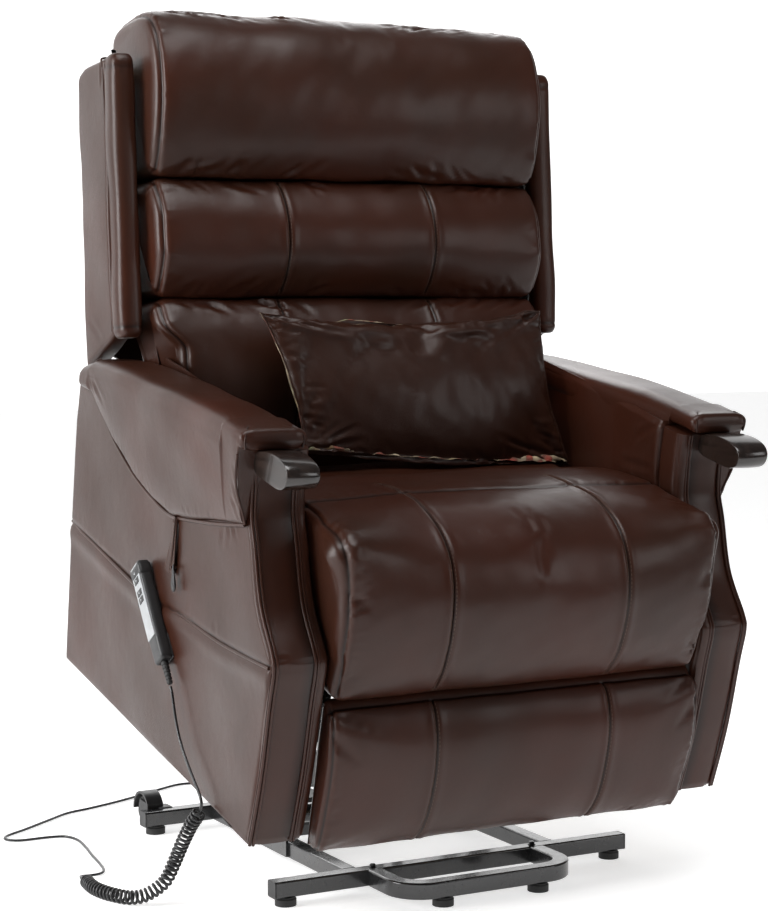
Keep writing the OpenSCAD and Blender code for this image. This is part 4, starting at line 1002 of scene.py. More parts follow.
def make_arms():
    ys = np.concatenate([[85.5, 85.7, 86.1, 86.9, 88.2, 90, 92.5, 95], np.linspace(97, 101, 6),
            np.linspace(104, 146, 12),
                         [148.3, 148.9, 149.5, 150.1, 150.7], np.linspace(153, 652, 104), np.linspace(654,
                         700, 18)])
    insets = np.interp(ys, [85.5, 85.7, 86.1, 86.9, 88.2, 90, 92.5, 95, 690, 694, 697, 700],
                       [9, 7.6, 6, 4.4, 2.6, 1.2, 0.4, 0, 0, 2, 6, 12])
    for name, side in (("left", 1), ("right", -1)):
        grid = np.array([np.insert(arm_ring(y, i), 1, y, axis=1) for y, i in zip(ys, insets)])
        x, y, z = grid[..., 0], grid[..., 1], grid[..., 2]
        low = np.interp(y, DRAPE_EDGE[:, 0], DRAPE_EDGE[:, 1])
        fold_list = [((406, 101, 442), (411, 116, 458), 1.6, 3.4), ((408, 101, 452), (416, 124, 470), 1.4,
                3.6),
                     ((414, 100, 470), (420, 118, 494), 1.2, 3.4), ((420, 100, 488), (423, 112, 520), 1.2,
                     3.2),
                     ((426, 640, 500), (424, 600, 470), 1.6, 6.0), ((425, 650, 505), (420, 640, 470), 1.4,
                     5.0),
                     ((330, 640, 520), (360, 600, 538), 1.2, 6.0), ((336, 88, 566), (348, 112, 576), 1.2,
                     3.2),
                     ((414, 88, 566), (402, 112, 576), 1.2, 3.2)]
        rng = np.random.default_rng(101 + side)
        for _ in range(22):
            where = rng.uniform(170, 640)
            base = float(np.interp(where, DRAPE_EDGE[:, 0], DRAPE_EDGE[:, 1]))
            fold_list.append(((405, where, base + 3), (412, where + rng.uniform(-10, 10),
                    base + rng.uniform(14, 30)),
                              0.7, 2.8))
        out = folds(grid, fold_list) + waves(grid, 103 + side, 150, 1.2) * ease((y - 92) / 20)
        outer = (x > 396) & (z < 500)
        grid = grid + normals_of(grid) * (out * np.where(outer | (z > 500), 1, 0.2))[..., None]
        # Painted shade in a line just above the drape's welt.
        seam = 0.6 * line_mark(z - low - 1.5, 1.8) * (x > 401) * (y > 100) * (y < 655)
        build = Build().grid(side_of(grid, side), seam)
        edge = even(route_at(DRAPE_EDGE, 14), 4)
        welt = np.column_stack([np.full(len(edge), 402.4), edge[:, 0], edge[:, 1] - 1.2])
        rise = route_at([(403.2, 656, 459), (408, 658, 472), (417, 658, 490), (421, 657, 505), (417, 656,
                518),
                         (405, 655, 525.5)], 8)
        build.tube(side_of(even(np.concatenate([welt, rise[1:]]), 4), side), 2.7, 10)
        front = even(route_at([(402.6, 97.5, 438), (408, 98.6, 456), (418, 98.2, 482), (423.6, 97.4, 508),
                               (425.4, 95, 540)], 10), 3)
        build.tube(side_of(front, side), 1.9, 8)
        for corner in (1, -1):
            arc = route_at([(375 + corner * 34, 104, 574.6), (375 + corner * 40, 94.5, 571.6),
                    (375 + corner * 43.6, 88, 565),
                            (375 + corner * 44.4, 86.4, 557), (375 + corner * 43, 86.6, 549)], 8)
            # The corner piping gets painted shade through its seam value.
            build.tube(side_of(even(arc, 2.5), side), 1.6, 8, seam=0.35)
        build.finish(f"arm_upholstery_{name}", CHAIR, skins(), "carriage", [f"arm_pad_{name}",
                f"arm_drape_{name}"],
                     "leather", 0.85)
        zs = np.concatenate([np.linspace(330, 400, 12), np.linspace(402, 548, 70)])
        rings = []
        for height in zs:
            start = float(post_at(height)) + 50.6
            shrink = 3 * (1 - float(ease((height - 330) / 10))) + 4 * float(ease((height - 538) / 12))
            ahead = even([(329, start + shrink), (319, start + shrink), (313.4 + shrink, start + 3),
                    (312 + shrink, start + 9),
                          (313.6 + shrink, start + 36), (319 + shrink, start + 80), (323.2 + shrink,
                          start + 140),
                          (324 + shrink, 330), (325 + shrink, 480), (328.6, 640)], 3.2)
            count = 190
            at = np.linspace(0, 1, count)
            run = run_of(ahead) / run_of(ahead)[-1]
            ahead = np.stack([np.interp(at ** 1.5, run, ahead[:, k]) for k in (0, 1)], axis=1)
            behind = np.array([(330.4, 640), (330.4, 500), (330.4, 300), (330.4, start + 60), (330.2,
                    start + 6)])
            ring = np.concatenate([ahead, behind])
            rings.append(np.column_stack([ring, np.full(len(ring), height)]))
        grid = np.array(rings)
        soft = [((314, 156, 545), (320, 220, 500), 1.6, 6.0), ((314, 160, 470), (322, 250, 455), 1.4, 6.0)]
        out = folds(grid, soft) + waves(grid, 107 + side, 110, 1.3)
        grid[:, :190, :] += (normals_of(grid) * out[..., None])[:, :190, :]
        Build().grid(side_of(grid, side)).finish(f"arm_lining_{name}", CHAIR, skins(), "carriage",
                slot="leather", fill=0.85)


def make_wings():
    for name, side in (("left", 1), ("right", -1)):
        bottom, top = 322.0, 763.0
        dome = np.array([0.0, 0.06, 0.14, 0.26, 0.42, 0.62, 0.82, 1.0])
        size = np.sqrt(1 - (1 - dome) ** 2) * 0.42 + 0.58
        zs = np.concatenate([bottom + 15 * dome, np.linspace(bottom + 17, top - 18, 90),
                top - 16 * dome[::-1]])
        sizes = np.concatenate([size, np.ones(90), size[::-1]])
        rings = [np.column_stack([*(super_ring(-20.5 * k, 20.5 * k, -23.5 * k, 23.5 * k, 44, 2.7)
                                    + np.array([380.2, -126.5])).T, np.full(44, z)]) for z, k in zip(zs,
                                            sizes)]
        grid = np.array(rings)
        cap = [((400, -148, top - 18), (384, -150, top - 22), 1.4, 2.6), ((362, -140, top - 14),
                (372, -150, top - 20), 1.2, 2.4),
               ((400, -120, top - 14), (398, -104, top - 24), 1.2, 2.6)]
        rng = np.random.default_rng(121 + side)
        for z in (top - 24, bottom + 18):
            for _ in range(9):
                x = rng.uniform(362, 400)
                cap.append(((x, -150, z), (x + rng.uniform(-4, 4), -150,
                        z + rng.choice((-1, 1)) * rng.uniform(8, 18)), 0.6, 2.0))
        out = folds(grid, cap) + waves(grid, 123 + side, 120, 0.9)
        ring_line = line_mark(grid[..., 2] - (top - 21), 2.2) + line_mark(grid[..., 2] - (bottom + 17), 2.2)
        grid = grid + normals_of(grid) * (out - 0.9 * ring_line)[..., None]
        # Painted shade in the sewn rings near the roll's two ends.
        build = Build().grid(side_of(grid, side), np.clip(0.8 * ring_line, 0, 1))

        def corner(u, v):
            y = -114 + 118 * u
            low = np.interp(y, [-114, -96, 4], [328, 318, 281])
            high = np.interp(y, [-114, -30, -8, 4], [758, 757, 750, 736])
            return y, low + (high - low) * v
        panel = slab(corner, 372, 400.2, np.linspace(0, 1, 44), np.linspace(0, 1, 100), 1.5, 7)
        depth = folds(panel, [((400, -100, 752), (400, -96, 716), 1.4, 3.0), ((400, -60, 330),
                (400, -20, 352), 1.0, 5.0)])
        panel[:, :44, 0] += (depth + waves(panel, 127 + side, 160, 1.2))[:, :44]
        build.grid(side_of(panel, side))
        welt = even([(398.4, -105.5, z) for z in (334, 500, 745)], 5)
        # The welt gets a little painted shade through its seam value.
        build.tube(side_of(welt, side), 2.0, 8, seam=0.15)
        arc = even(route_at([(399.5, -105, 746), (398.5, -100, 757), (392, -92, 761), (380, -90, 762.2),
                (372, -90, 761)], 8), 3)
        build.tube(side_of(arc, side), 1.8, 8)
        rear = even([(394, 1.5, 290), (396.5, 1.5, 500), (396.5, 1.5, 728)], 5)
        build.tube(side_of(rear, side), 1.8, 8)
        build.finish(f"wing_upholstery_{name}", BACK, skins(), "back", [f"wing_{name}"], "leather", 0.85)


def make_back_panel():
    wide = 366.0

    def corner(u, v):
        z = 28 + 733 * v
        half = 320 + (wide - 320) * ease((z - 278) / 24)
        return -half + 2 * half * u, z
    vs = spaced(0, 1, 0.012, [0.12], 0.0016, 0.02)
    grid = slab(corner, -19.5, -5.2, np.linspace(0, 1, 110), vs, 3.2, 9, (1.0, 0.5, 0.0))
    grid = grid[..., [1, 0, 2]]
    z = grid[..., 2]
    low_seam = 118.0
    groove = line_mark(z - low_seam, 2.6) * (grid[..., 1] > -16)
    pleats = []
    rng = np.random.default_rng(131)
    for _ in range(26):
        at = rng.uniform(-300, 300)
        pleats.append(((at, -2, low_seam + 2), (at + rng.uniform(-10, 10), -2,
                low_seam + rng.uniform(16, 40)), 0.9, 3.0))
    for _ in range(14):
        at = rng.uniform(-340, 340)
        pleats.append(((at, -2, 756), (at + rng.uniform(-10, 10), -2, 756 - rng.uniform(16, 44)), 0.9, 3.2))
    out = folds(grid, pleats) + waves(grid, 133, 210, 1.8) - 2.2 * groove
    grid[..., 1] += out * (grid[..., 1] > -16)
    # Painted shade in the groove of the low seam.
    build = Build().grid(grid, np.clip(groove, 0, 1) * 0.8)
    frame_line = even(route_at([(-353, -8.5, 742), (-353, -8, 320), (-350, -8, 312)], 6), 5)
    build.tube(frame_line, 1.7, 8)
    build.tube(side_of(frame_line, -1), 1.7, 8)
    build.tube(even([(-352, -6.4, 744), (0, -5.4, 747), (352, -6.4, 744)], 5), 1.9, 8)
    for away in (-4, 4):
        build.stitches(even([(-308, -3.6, low_seam + away), (0, -1.6, low_seam + away), (308, -3.6,
                low_seam + away)], 4))
    build.finish("back_upholstery", BACK, skins(), "back", ["outer_back"], "leather", 0.9)


def make_pillow():
    place = CHAIR @ shift(0.062, 0.455, 0.523) @ turn_x(math.radians(-27))
    w, h, thick = 252, 125, 108
    corner = np.array([(-w - 18, h), (w - 12, h), (-w + 32, -h + 30), (w + 6, -h - 8)], float)
    n = 44
    ease_out = np.sin(np.linspace(-math.pi / 2, math.pi / 2, n))
    us = np.concatenate([ease_out, ease_out[::-1]])
    faces = np.concatenate([-np.ones(n), np.ones(n)])
    rows = np.sin(np.linspace(-math.pi / 2, math.pi / 2, 30))
    grid = []
    for v in rows:
        flat = ((1 + v) / 4 * ((1 - us)[:, None] * corner[0] + (1 + us)[:, None] * corner[1])
                + (1 - v) / 4 * ((1 - us)[:, None] * corner[2] + (1 + us)[:, None] * corner[3]))
        flat = flat - np.stack([0.06 * w * us * (1 - v * v), 0.08 * h * (1 + v) * (1 - us * us)], axis=1)
        swell = 0.86 * thick / 2 * np.clip(1 - us * us, 0, 1) ** 0.55 * max(0, 1 - v * v) ** 0.55 + 1.6
        grid.append(np.stack([flat[:, 0], faces * swell, flat[:, 1]], axis=1))
    grid = np.array(grid)
    held = np.zeros(grid.shape[:2])
    held[:, [0, n - 1, n, 2 * n - 1]] = 0.6
    held[[0, -1], :] = 0.6
    held[0, [0, n - 1, n, 2 * n - 1]] = held[-1, [0, n - 1, n, 2 * n - 1]] = 1
    grid = swollen(grid, held, 12, frames=18)
    fine_rows = np.linspace(0, len(rows) - 1, 88)
    cols = np.linspace(0, 2 * n, 241)[:-1]
    grid = resample(grid, fine_rows, cols)
    s = Surface(grid, np.linspace(-1, 1, 88), cols)
    rng = np.random.default_rng(141)
    pleats = []
    def edge_folds(row0, row1, col, way, count, depth, reach, seed):
        return s.pleats((row0, row1), col, way, count, seed, depth, 3.4, reach)
    for col, away in ((1.0, 9), (n - 2.0, -9)):
        pleats += edge_folds(-0.9, 0.9, col, (0, away), 24, 1.9, 44, int(150 + col))
    for row, away in ((-0.96, 0.3), (0.96, -0.3)):
        pleats += s.pleats(row, (4, n - 5), (away, 0), 26, int(160 + row * 9), 1.5, 3.4, 36)
    for row, col, away in ((0.9, 3, (-0.45, 10)), (0.9, n - 4, (-0.45, -10)), (-0.9, 3, (0.45, 10)), (-0.9,
            n - 4, (0.45, -10))):
        start = s.at(row, col)
        for _ in range(4):
            end = s.at(row + away[0] * rng.uniform(0.5, 1.1), col + away[1] * rng.uniform(0.5, 1.3))
            pleats.append((start, end, rng.uniform(1.6, 3.2), rng.uniform(3.5, 5.5)))
    out = folds(grid, pleats) + waves(grid, 143, 120, 2.0) + waves(grid, 144, 45, 0.5)
    front = (cols > 0.7) & (cols < n - 1.7)
    grid = grid + s.normals * out[..., None]
    build = Build().grid(grid)
    count = len(cols)
    kinds = np.ones((87, count), int)
    kinds[2:-2, front] = 0
    build.kinds[:87 * count] = kinds.reshape(-1).tolist()
    rim = [(r, 0.35) for r in np.linspace(-0.985, 0.985, 60)] + [(0.985, c) for c in np.linspace(0.35,
            n - 1.35, 90)]
    rim += [(r, n - 1.35) for r in np.linspace(0.985, -0.985, 60)] + [(-0.985,
            c) for c in np.linspace(n - 1.35, 0.35, 90)]
    seam = Surface(grid, np.linspace(-1, 1, 88), cols)
    build.tube(even([seam.at(r, c, 0.2) for r, c in rim], 4), 1.3, 8)
    build.finish("pillow_cover", place, skins("leather_fine", "cloth"), "pillow", ["lumbar_pillow"],
            "leather_fine", 0.75)


# ---- Hard pieces, modelled in edit mode ----

def edit(piece):
    pick(piece)
    bpy.ops.object.mode_set(mode="EDIT")
    bpy.ops.mesh.select_all(action="SELECT")


def rounded(piece, width, segments=3, sharp=30):
    """Bevels the sharp edges of a piece in edit mode."""
    edit(piece)
    bpy.ops.mesh.select_all(action="DESELECT")
    bpy.ops.mesh.edges_select_sharp(sharpness=math.radians(sharp))
    bpy.ops.mesh.bevel(offset=width * MM, segments=segments, profile=0.6, affect="EDGES")
    bpy.ops.mesh.select_all(action="SELECT")
    bpy.ops.mesh.normals_make_consistent(inside=False)
    bpy.ops.object.mode_set(mode="OBJECT")


def set_down(piece, place, name, look, body, replaces=(), angle=40):
    """Puts a modelled piece in its place, with the place in its mesh, and gives it its finish."""
    piece.name = piece.data.name = name
    piece.data.transform(place)
    if place.determinant() < 0:
        piece.data.flip_normals()
    pick(piece)
    bpy.ops.object.shade_smooth_by_angle(angle=math.radians(angle))
    piece.data.materials.clear()
    piece.data.materials.append(LOOKS[look])
    return settle_in(piece, body, replaces)


def turned(profile, sides=24, start=0.0):
    """A round piece along +Z through (height, radius) pairs: a circle, extruded and resized step by step."""
    deselect()
    height, radius = profile[0]
    bpy.ops.mesh.primitive_circle_add(vertices=sides, radius=radius * MM, fill_type="NGON", location=(0, 0,
            height * MM))
    piece = bpy.context.object
    bpy.ops.object.transform_apply(location=True)
    edit(piece)
    for step, size in profile[1:]:
        bpy.ops.mesh.extrude_region_move(TRANSFORM_OT_translate={"value": (0, 0, (step - height) * MM)})
        bpy.ops.transform.resize(value=(size / radius, size / radius, 1), center_override=(0, 0, step * MM))
        height, radius = step, size
    bpy.ops.mesh.select_all(action="SELECT")
    bpy.ops.mesh.normals_make_consistent(inside=False)
    bpy.ops.object.mode_set(mode="OBJECT")
    return piece


def block(size, bevel, segments=3, cuts=0):
    """A rounded block from the origin's middle: a cube, resized, subdivided and bevelled."""
    deselect()
    bpy.ops.mesh.primitive_cube_add(size=1, location=(0, 0, 0))
    piece = bpy.context.object
    edit(piece)
    bpy.ops.transform.resize(value=tuple(s * MM for s in size))
    if cuts:
        bpy.ops.mesh.subdivide(number_cuts=cuts)
    bpy.ops.object.mode_set(mode="OBJECT")
    rounded(piece, bevel, segments)
    return piece


def copied(piece, name):
    copy = bpy.data.objects.new(name, piece.data.copy())
    bpy.context.collection.objects.link(copy)
    return copy


def facing(x):
    """Turns a piece along +Z to lie along +X or -X."""
    return Matrix.Rotation(math.radians(90 if x > 0 else -90), 4, "Y")


def make_grips():
    """The two wooden grips: a bullnose slab in side view, crowned across, a little lower and shorter
    inwards.
    """
    side_line = [(0, 0), (0, 28), (-18, 33.5), (-40, 39.6), (-64, 41.6), (-82, 40.4), (-93, 37.4), (-100,
            32.6),
                 (-103.6, 26.4), (-103.8, 19.5), (-100.6, 11.6), (-94, 5.4), (-84, 1.4), (-70, 0), (-35, 0)]
    mesh = bpy.data.meshes.new("grip_side")
    mesh.from_pydata([(-26 * MM, y * MM, z * MM) for y, z in side_line], [], [list(range(len(side_line)))])
    grip = bpy.data.objects.new("grip_side", mesh)
    bpy.context.collection.objects.link(grip)
    deselect()
    edit(grip)
    bpy.ops.mesh.select_all(action="SELECT")
    bpy.ops.mesh.select_mode(type="FACE")
    bpy.ops.mesh.select_all(action="SELECT")
    x, size = -26.0, 1.0
    middle = (0, -40 * MM, 15 * MM)
    for to, scale in ((-25.4, 1.022), (-23.6, 1.036), (-18, 1.052), (-9, 1.066), (0, 1.07), (9, 1.066), (18,
            1.052),
                      (23.6, 1.036), (25.4, 1.022), (26, 1.0)):
        bpy.ops.mesh.extrude_region_move(TRANSFORM_OT_translate={"value": ((to - x) * MM, 0, 0)})
        bpy.ops.transform.resize(value=(1, scale / size, scale / size), center_override=middle)
        x, size = to, scale
    bpy.ops.mesh.select_all(action="SELECT")
    bpy.ops.mesh.normals_make_consistent(inside=False)
    bpy.ops.object.mode_set(mode="OBJECT")
    soften = grip.modifiers.new("Smooth", "SUBSURF")
    soften.levels = soften.render_levels = 3
    bpy.ops.object.modifier_apply(modifier=soften.name)
    for name, side in (("left", 1), ("right", -1)):
        piece = copied(grip, f"grip_wood_{name}")
        for vertex in piece.data.vertices:
            at = vertex.co
            across = side * at.x / (26 * MM)
            ahead = float(ease(-at.y / (104 * MM)))
            at.z *= 1.03 - 0.09 * (1 - across) / 2 * ahead
            at.y = min(at.y * (1 - 0.03 * (1 - across) / 2 * ahead), 0.0)
            at.z = max(at.z, 0.0)
        place = CHAIR @ shift(side * 0.3725, 0.0992, 0.512)
        set_down(piece, place, f"grip_wood_{name}", "wood_grip", "carriage", [f"hand_grip_{name}"],
                60)
    bpy.data.objects.remove(grip)


HANDSET = CHAIR @ shift(-0.4025, 0.302, 0.157) @ turn_x(math.radians(-48))


def in_handset(x, y, z):
    """A place in the handset: x outwards from the chair, y across and z along it, in millimetres."""
    return HANDSET @ shift(-x * MM, y * MM, z * MM)


def make_handset():
    shell = block((20, 36, 164), 6.5, 5)
    edit(shell)
    bpy.ops.object.mode_set(mode="OBJECT")
    for vertex in shell.data.vertices:
        share = (vertex.co.z * 1000 + 82) / 164
        slim = 1 - 0.12 * (1 - min(1, max(0, share * 2.4)))
        vertex.co.y *= slim
    set_down(shell, in_handset(10, 0, 82), "handset_shell", "plastic", "carriage", ["handset"])
    ridge = block((3, 30, 40), 1.4, 3)
    set_down(ridge, in_handset(0.2, 0, 20), "handset_back_rib", "plastic", "carriage")
    clip = block((9, 22, 46), 2.5, 3)
    set_down(clip, in_handset(-1.6, 0, 85), "handset_clip", "plastic", "carriage")
    collar = block((23, 38, 22), 6.5, 4)
    set_down(collar, in_handset(10, 0, 150), "handset_collar", "plastic", "carriage")
    face = block((2, 28, 120), 0.9, 3)
    set_down(face, in_handset(20.1, 0, 100), "handset_plate", "plastic_grey", "carriage", ["handset_face"])
    prong = block((4, 34, 6), 1.6, 3)
    set_down(prong, in_handset(6, 30, 118), "handset_prong", "plastic", "carriage")
    for name, z in (("back_up", 148), ("back_down", 136), ("lift_up", 116), ("lift_down", 104)):
        button = block((3.6, 16.5, 9.5), 0.9, 3)
        edit(button)
        bpy.ops.object.mode_set(mode="OBJECT")
        set_down(button, in_handset(20.2, 0, z), f"button_cap_{name}", "plastic", f"key_{name}",
                [f"button_{name}"])
        mark = turned([(0, 2.6), (0.5, 2.6), (0.7, 2.2)], 3)
        spin = Matrix.Rotation(math.radians(0 if "up" in name else 180), 4,
                "X") @ Matrix.Rotation(math.radians(-90), 4, "Y")
        set_down(mark, in_handset(21.8, 0, z) @ spin, f"button_arrow_{name}", "plastic_grey", f"key_{name}",
                 angle=20)
    rings = [(-37, 3.2), (-36, 4.0)]
    for i in range(6):
        z = -36 + 6.0 * i
        size = 4.1 + 0.28 * i
        rings += [(z + 0.5, size + 0.3), (z + 3.6, size + 0.4), (z + 4.0, size - 0.7), (z + 5.6, size - 0.6)]
    rings += [(1.5, 5.8), (3, 5.8)]
    relief = turned(rings, 28)
    set_down(relief, in_handset(10, 0, 0), "handset_relief", "rubber", "carriage")


def make_strap():
    build = Build()
    strap_out = -405.0
    for away, width, swing in ((0.0, 15.0, -4.0), (1.6, 13.0, 5.0), (-1.2, 11.0, 1.0)):
        path = route_at([(321, 376), (320 + swing * 0.4, 352), (322 + swing, 322), (324 + swing * 1.4, 298),
                         (325 + swing * 1.2, 288)], 12)
        path = even(path, 2.5)
        run = np.linspace(0, 1, len(path))
        rings = []
        for (y, z), t in zip(path, run):
            spread = width * (0.42 + 0.58 * float(ease(t * 1.4))) / 2
            twist = 0.25 * math.sin(3 * t + away)
            ring = super_ring(-1.1, 1.1, -spread, spread, 20, 4)
            rings.append(np.column_stack([strap_out - away + ring[:, 0] + twist * ring[:, 1], y + ring[:, 1],
                                          z + 0.2 * ring[:, 1]]))
        build.grid(np.array(rings))
        for edge in (-0.72, 0.72):
            row = [(strap_out - away - 1.35 + 0.25 * math.sin(3 * t + away) * edge * width * 0.4,
                    y + edge * width * (0.42 + 0.58 * float(ease(t * 1.4))) / 2, z) for (y, z),
                            t in zip(path, run)]
            build.stitches(row, 3.4, 2.0, 0.42)
    build.tube([(-397, 322, 366), (-403, 322, 368), (-408, 321, 370)], 3.2, 10)
    build.tube([(-403, 309, 302), (-408, 309, 302), (-412.6, 309, 302)], 1.9, 14)
    build.finish("strap_leather", CHAIR, skins(), "carriage", ["strap_loop"], "leather")
    drop = turned([(0, 1.8), (3, 2.4), (10, 3.0), (18, 4.4), (25, 6.0), (31, 6.4), (36, 5.4), (39, 3.4),
            (40.4, 1.2)], 28)
    place = CHAIR @ shift(-0.4098, 0.3075, 0.307) @ turn_x(math.radians(180 - 15)) @ Matrix.Scale(0.5, 4, (1,
            0, 0))
    set_down(drop, place, "pull_drop", "plastic", "pull", ["strap_pull"], 60)


def make_fittings():
    """Bolts, washers and covers on the steel base and the lift."""
    bolt = turned([(0, 9.5), (1.6, 9.5), (1.9, 9.0), (1.9, 7.2), (7.2, 7.2), (7.9, 6.2), (7.9, 0.8)], 6)
    washer = turned([(0, 11), (1.4, 11), (1.8, 10.4)], 32)
    spots = [("lift_pivot", BASE, 0, 230, 75, 196.5, "lift_arm_body"), ("link_pivot", BASE, 0, 270, 64,
            190.4, "base"),
             ("arm_head", CHAIR, 0, 586, 80, 208.0, "carriage"), ("foot_pivot", CHAIR, 0, 68, 188, 275.5,
             "carriage")]
    for name, place, _, y, z, x, body in spots:
        for side in (1, -1):
            where = place @ shift(side * x * MM, y * MM, z * MM) @ facing(side)
            set_down(copied(washer, "washer"), where, f"washer_{name}_{'lr'[side < 0]}", "steel_bright", body)
            set_down(copied(bolt, "bolt"), where @ shift(0, 0, 0.0016), f"bolt_{name}_{'lr'[side < 0]}",
                    "steel_bright", body)
    for index, (x, y) in enumerate(((140, 12.5), (-140, 12.5), (174, 502.5), (-174, 502.5))):
        where = BASE @ shift(x * MM, y * MM, 0.0382)
        set_down(copied(bolt, "bolt"), where @ Matrix.Scale(0.62, 4), f"bolt_frame_{index}", "steel_black",
                "base")
    for side in (1, -1):
        cover = block((26, 30, 20), 6, 4)
        set_down(cover, BASE @ shift(side * 0.262, 0.520, 0.030), f"tube_cover_{'lr'[side < 0]}", "plastic",
                "base")
    bpy.data.objects.remove(bolt)
    bpy.data.objects.remove(washer)


# ---- Cords: the same routes as in the CAD model, in millimetres on the base ----

CORD = 4.4
CURL_ROUTE = [(-508, 245, 11), (-508, 233, 11), (-511, 200, 11), (-508, 169, 11), (-498, 140, 11), (-485,
        120, 11),
              (-470, 108, 14), (-455, 100, 22), (-440, 92, 37), (-430, 83, 64), (-422, 69, 97), (-416, 51,
              126),
              (-412, 35, 144), (-412, 28, 154)]
LEAD_ROUTE = [(-412, 28, 154), (-412, 24, 162), (-412, 30, 173), (-412, 52, 192), (-412, 78, 215), (-412,
        100, 240),
              (-412, 115, 267), (-412, 124, 292), (-412, 129, 306), (-412, 134, 314)]
FLOOR_ROUTE = [(-125, 413, 58), (-125, 428, 57), (-125, 446, 50), (-125, 460, 32), (-125, 472, 12), (-125,
        488, 3),
               (-124, 520, 2.4), (-116, 580, 2.4), (-96, 650, 2.4), (-72, 715, 2.4), (-62, 762, 2.4), (-76,
               797, 2.4),
               (-112, 805, 2.4), (-160, 784, 2.4), (-207, 758, 2.4), (-262, 731, 2.4), (-320, 708, 2.4),
               (-368, 692, 2.4),
               (-414, 659, 2.4), (-469, 618, 2.4), (-510, 590, 2.4), (-519, 568, 2.4), (-500, 551, 2.4),
               (-454, 549, 2.4),
               (-427, 540, 2.4), (-418, 507, 2.4), (-424, 455, 2.4), (-433, 405, 2.4), (-441, 352, 2.4),
               (-450, 312, 2.4),
               (-463, 296, 2.4), (-483, 288, 4), (-500, 276, 8), (-508, 257, 11), (-508, 245, 11)]


def curled(route, curls=42, outer=22.0, steps=24):
    """The middle line of a curly cord round a route, whose curls grow from its straight ends."""
    axis = route_at(route, 6)
    run = run_of(axis)
    along = lambda s: np.array([np.interp(s, run, axis[:, k]) for k in range(3)])
    count = curls * steps
    path = [np.array(route[0], float)]
    up = np.array((0, 1, 1.0))
    for i in range(count + 1):
        s = CORD + (run[-1] - 2 * CORD) * i / count
        way = unit(along(min(s + 3, run[-1])) - along(max(s - 3, 0)))
        one = unit(up - way * (way @ up))
        two = np.cross(way, one)
        turn = 2 * math.pi * i / steps
        radius = (outer - CORD) / 2 * float(ease(min(i, count - i) / steps))
        path.append(along(s) + radius * (one * math.cos(turn) + two * math.sin(turn)))
    path.append(np.array(route[-1], float))
    return np.array(path)


def lay_cord(name, path, bodies, node, sides):
    """A cord that rides on one body, or, when it is given more bodies, rides on none and has its place baked into
    its mesh.
    """
    build = Build().tube(path, CORD / 2, sides, up=(0, 1, 1))
    piece = build.finish(name, BASE, [LOOKS["cord"]], bodies[0] if len(bodies) == 1 else None, [node],
            "plastic")
    if len(bodies) > 1:
        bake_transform(piece)


def make_cords():
    lay_cord("lead_of_handset", route_at(LEAD_ROUTE, 8)[::-1], ("carriage",), "handset_lead", 12)
    lay_cord("cord_curly", curled(CURL_ROUTE), ("lift_arm_body", "carriage", 0), "curly_cord", 8)
    lay_cord("lead_on_floor", route_at(FLOOR_ROUTE, 8), ("base", "lift_arm_body", -60), "floor_lead", 12)


# ---- Stage ----

def make_camera():
    data = bpy.data.cameras.new("camera")
    data.sensor_fit = "VERTICAL"
    data.sensor_height = 36
    data.lens = 36 * 2227.7 / 911
    data.clip_end = 60
    camera = bpy.data.objects.new("camera", data)
    bpy.context.collection.objects.link(camera)
    right, up = Vector((0.87855, -0.47766, 0)), Vector((0.03601, 0.06623, 0.99715))
    back = right.cross(up)
    turned_to = Matrix((right, up, back)).transposed().to_4x4()
    camera.matrix_world = Matrix.Translation((-1.6847, -3.0437, 0.8999)) @ turned_to
    bpy.context.scene.camera = camera


def light(name, place, aim, size, power, tint=(1, 1, 1)):
    data = bpy.data.lights.new(name, "AREA")
    data.shape = "RECTANGLE"
    data.size, data.size_y = size
    data.energy = power
    data.color = tint
    lamp = bpy.data.objects.new(name, data)
    bpy.context.collection.objects.link(lamp)
    lamp.location = place
    lamp.rotation_euler = (Vector(aim) - Vector(place)).to_track_quat("-Z", "Y").to_euler()


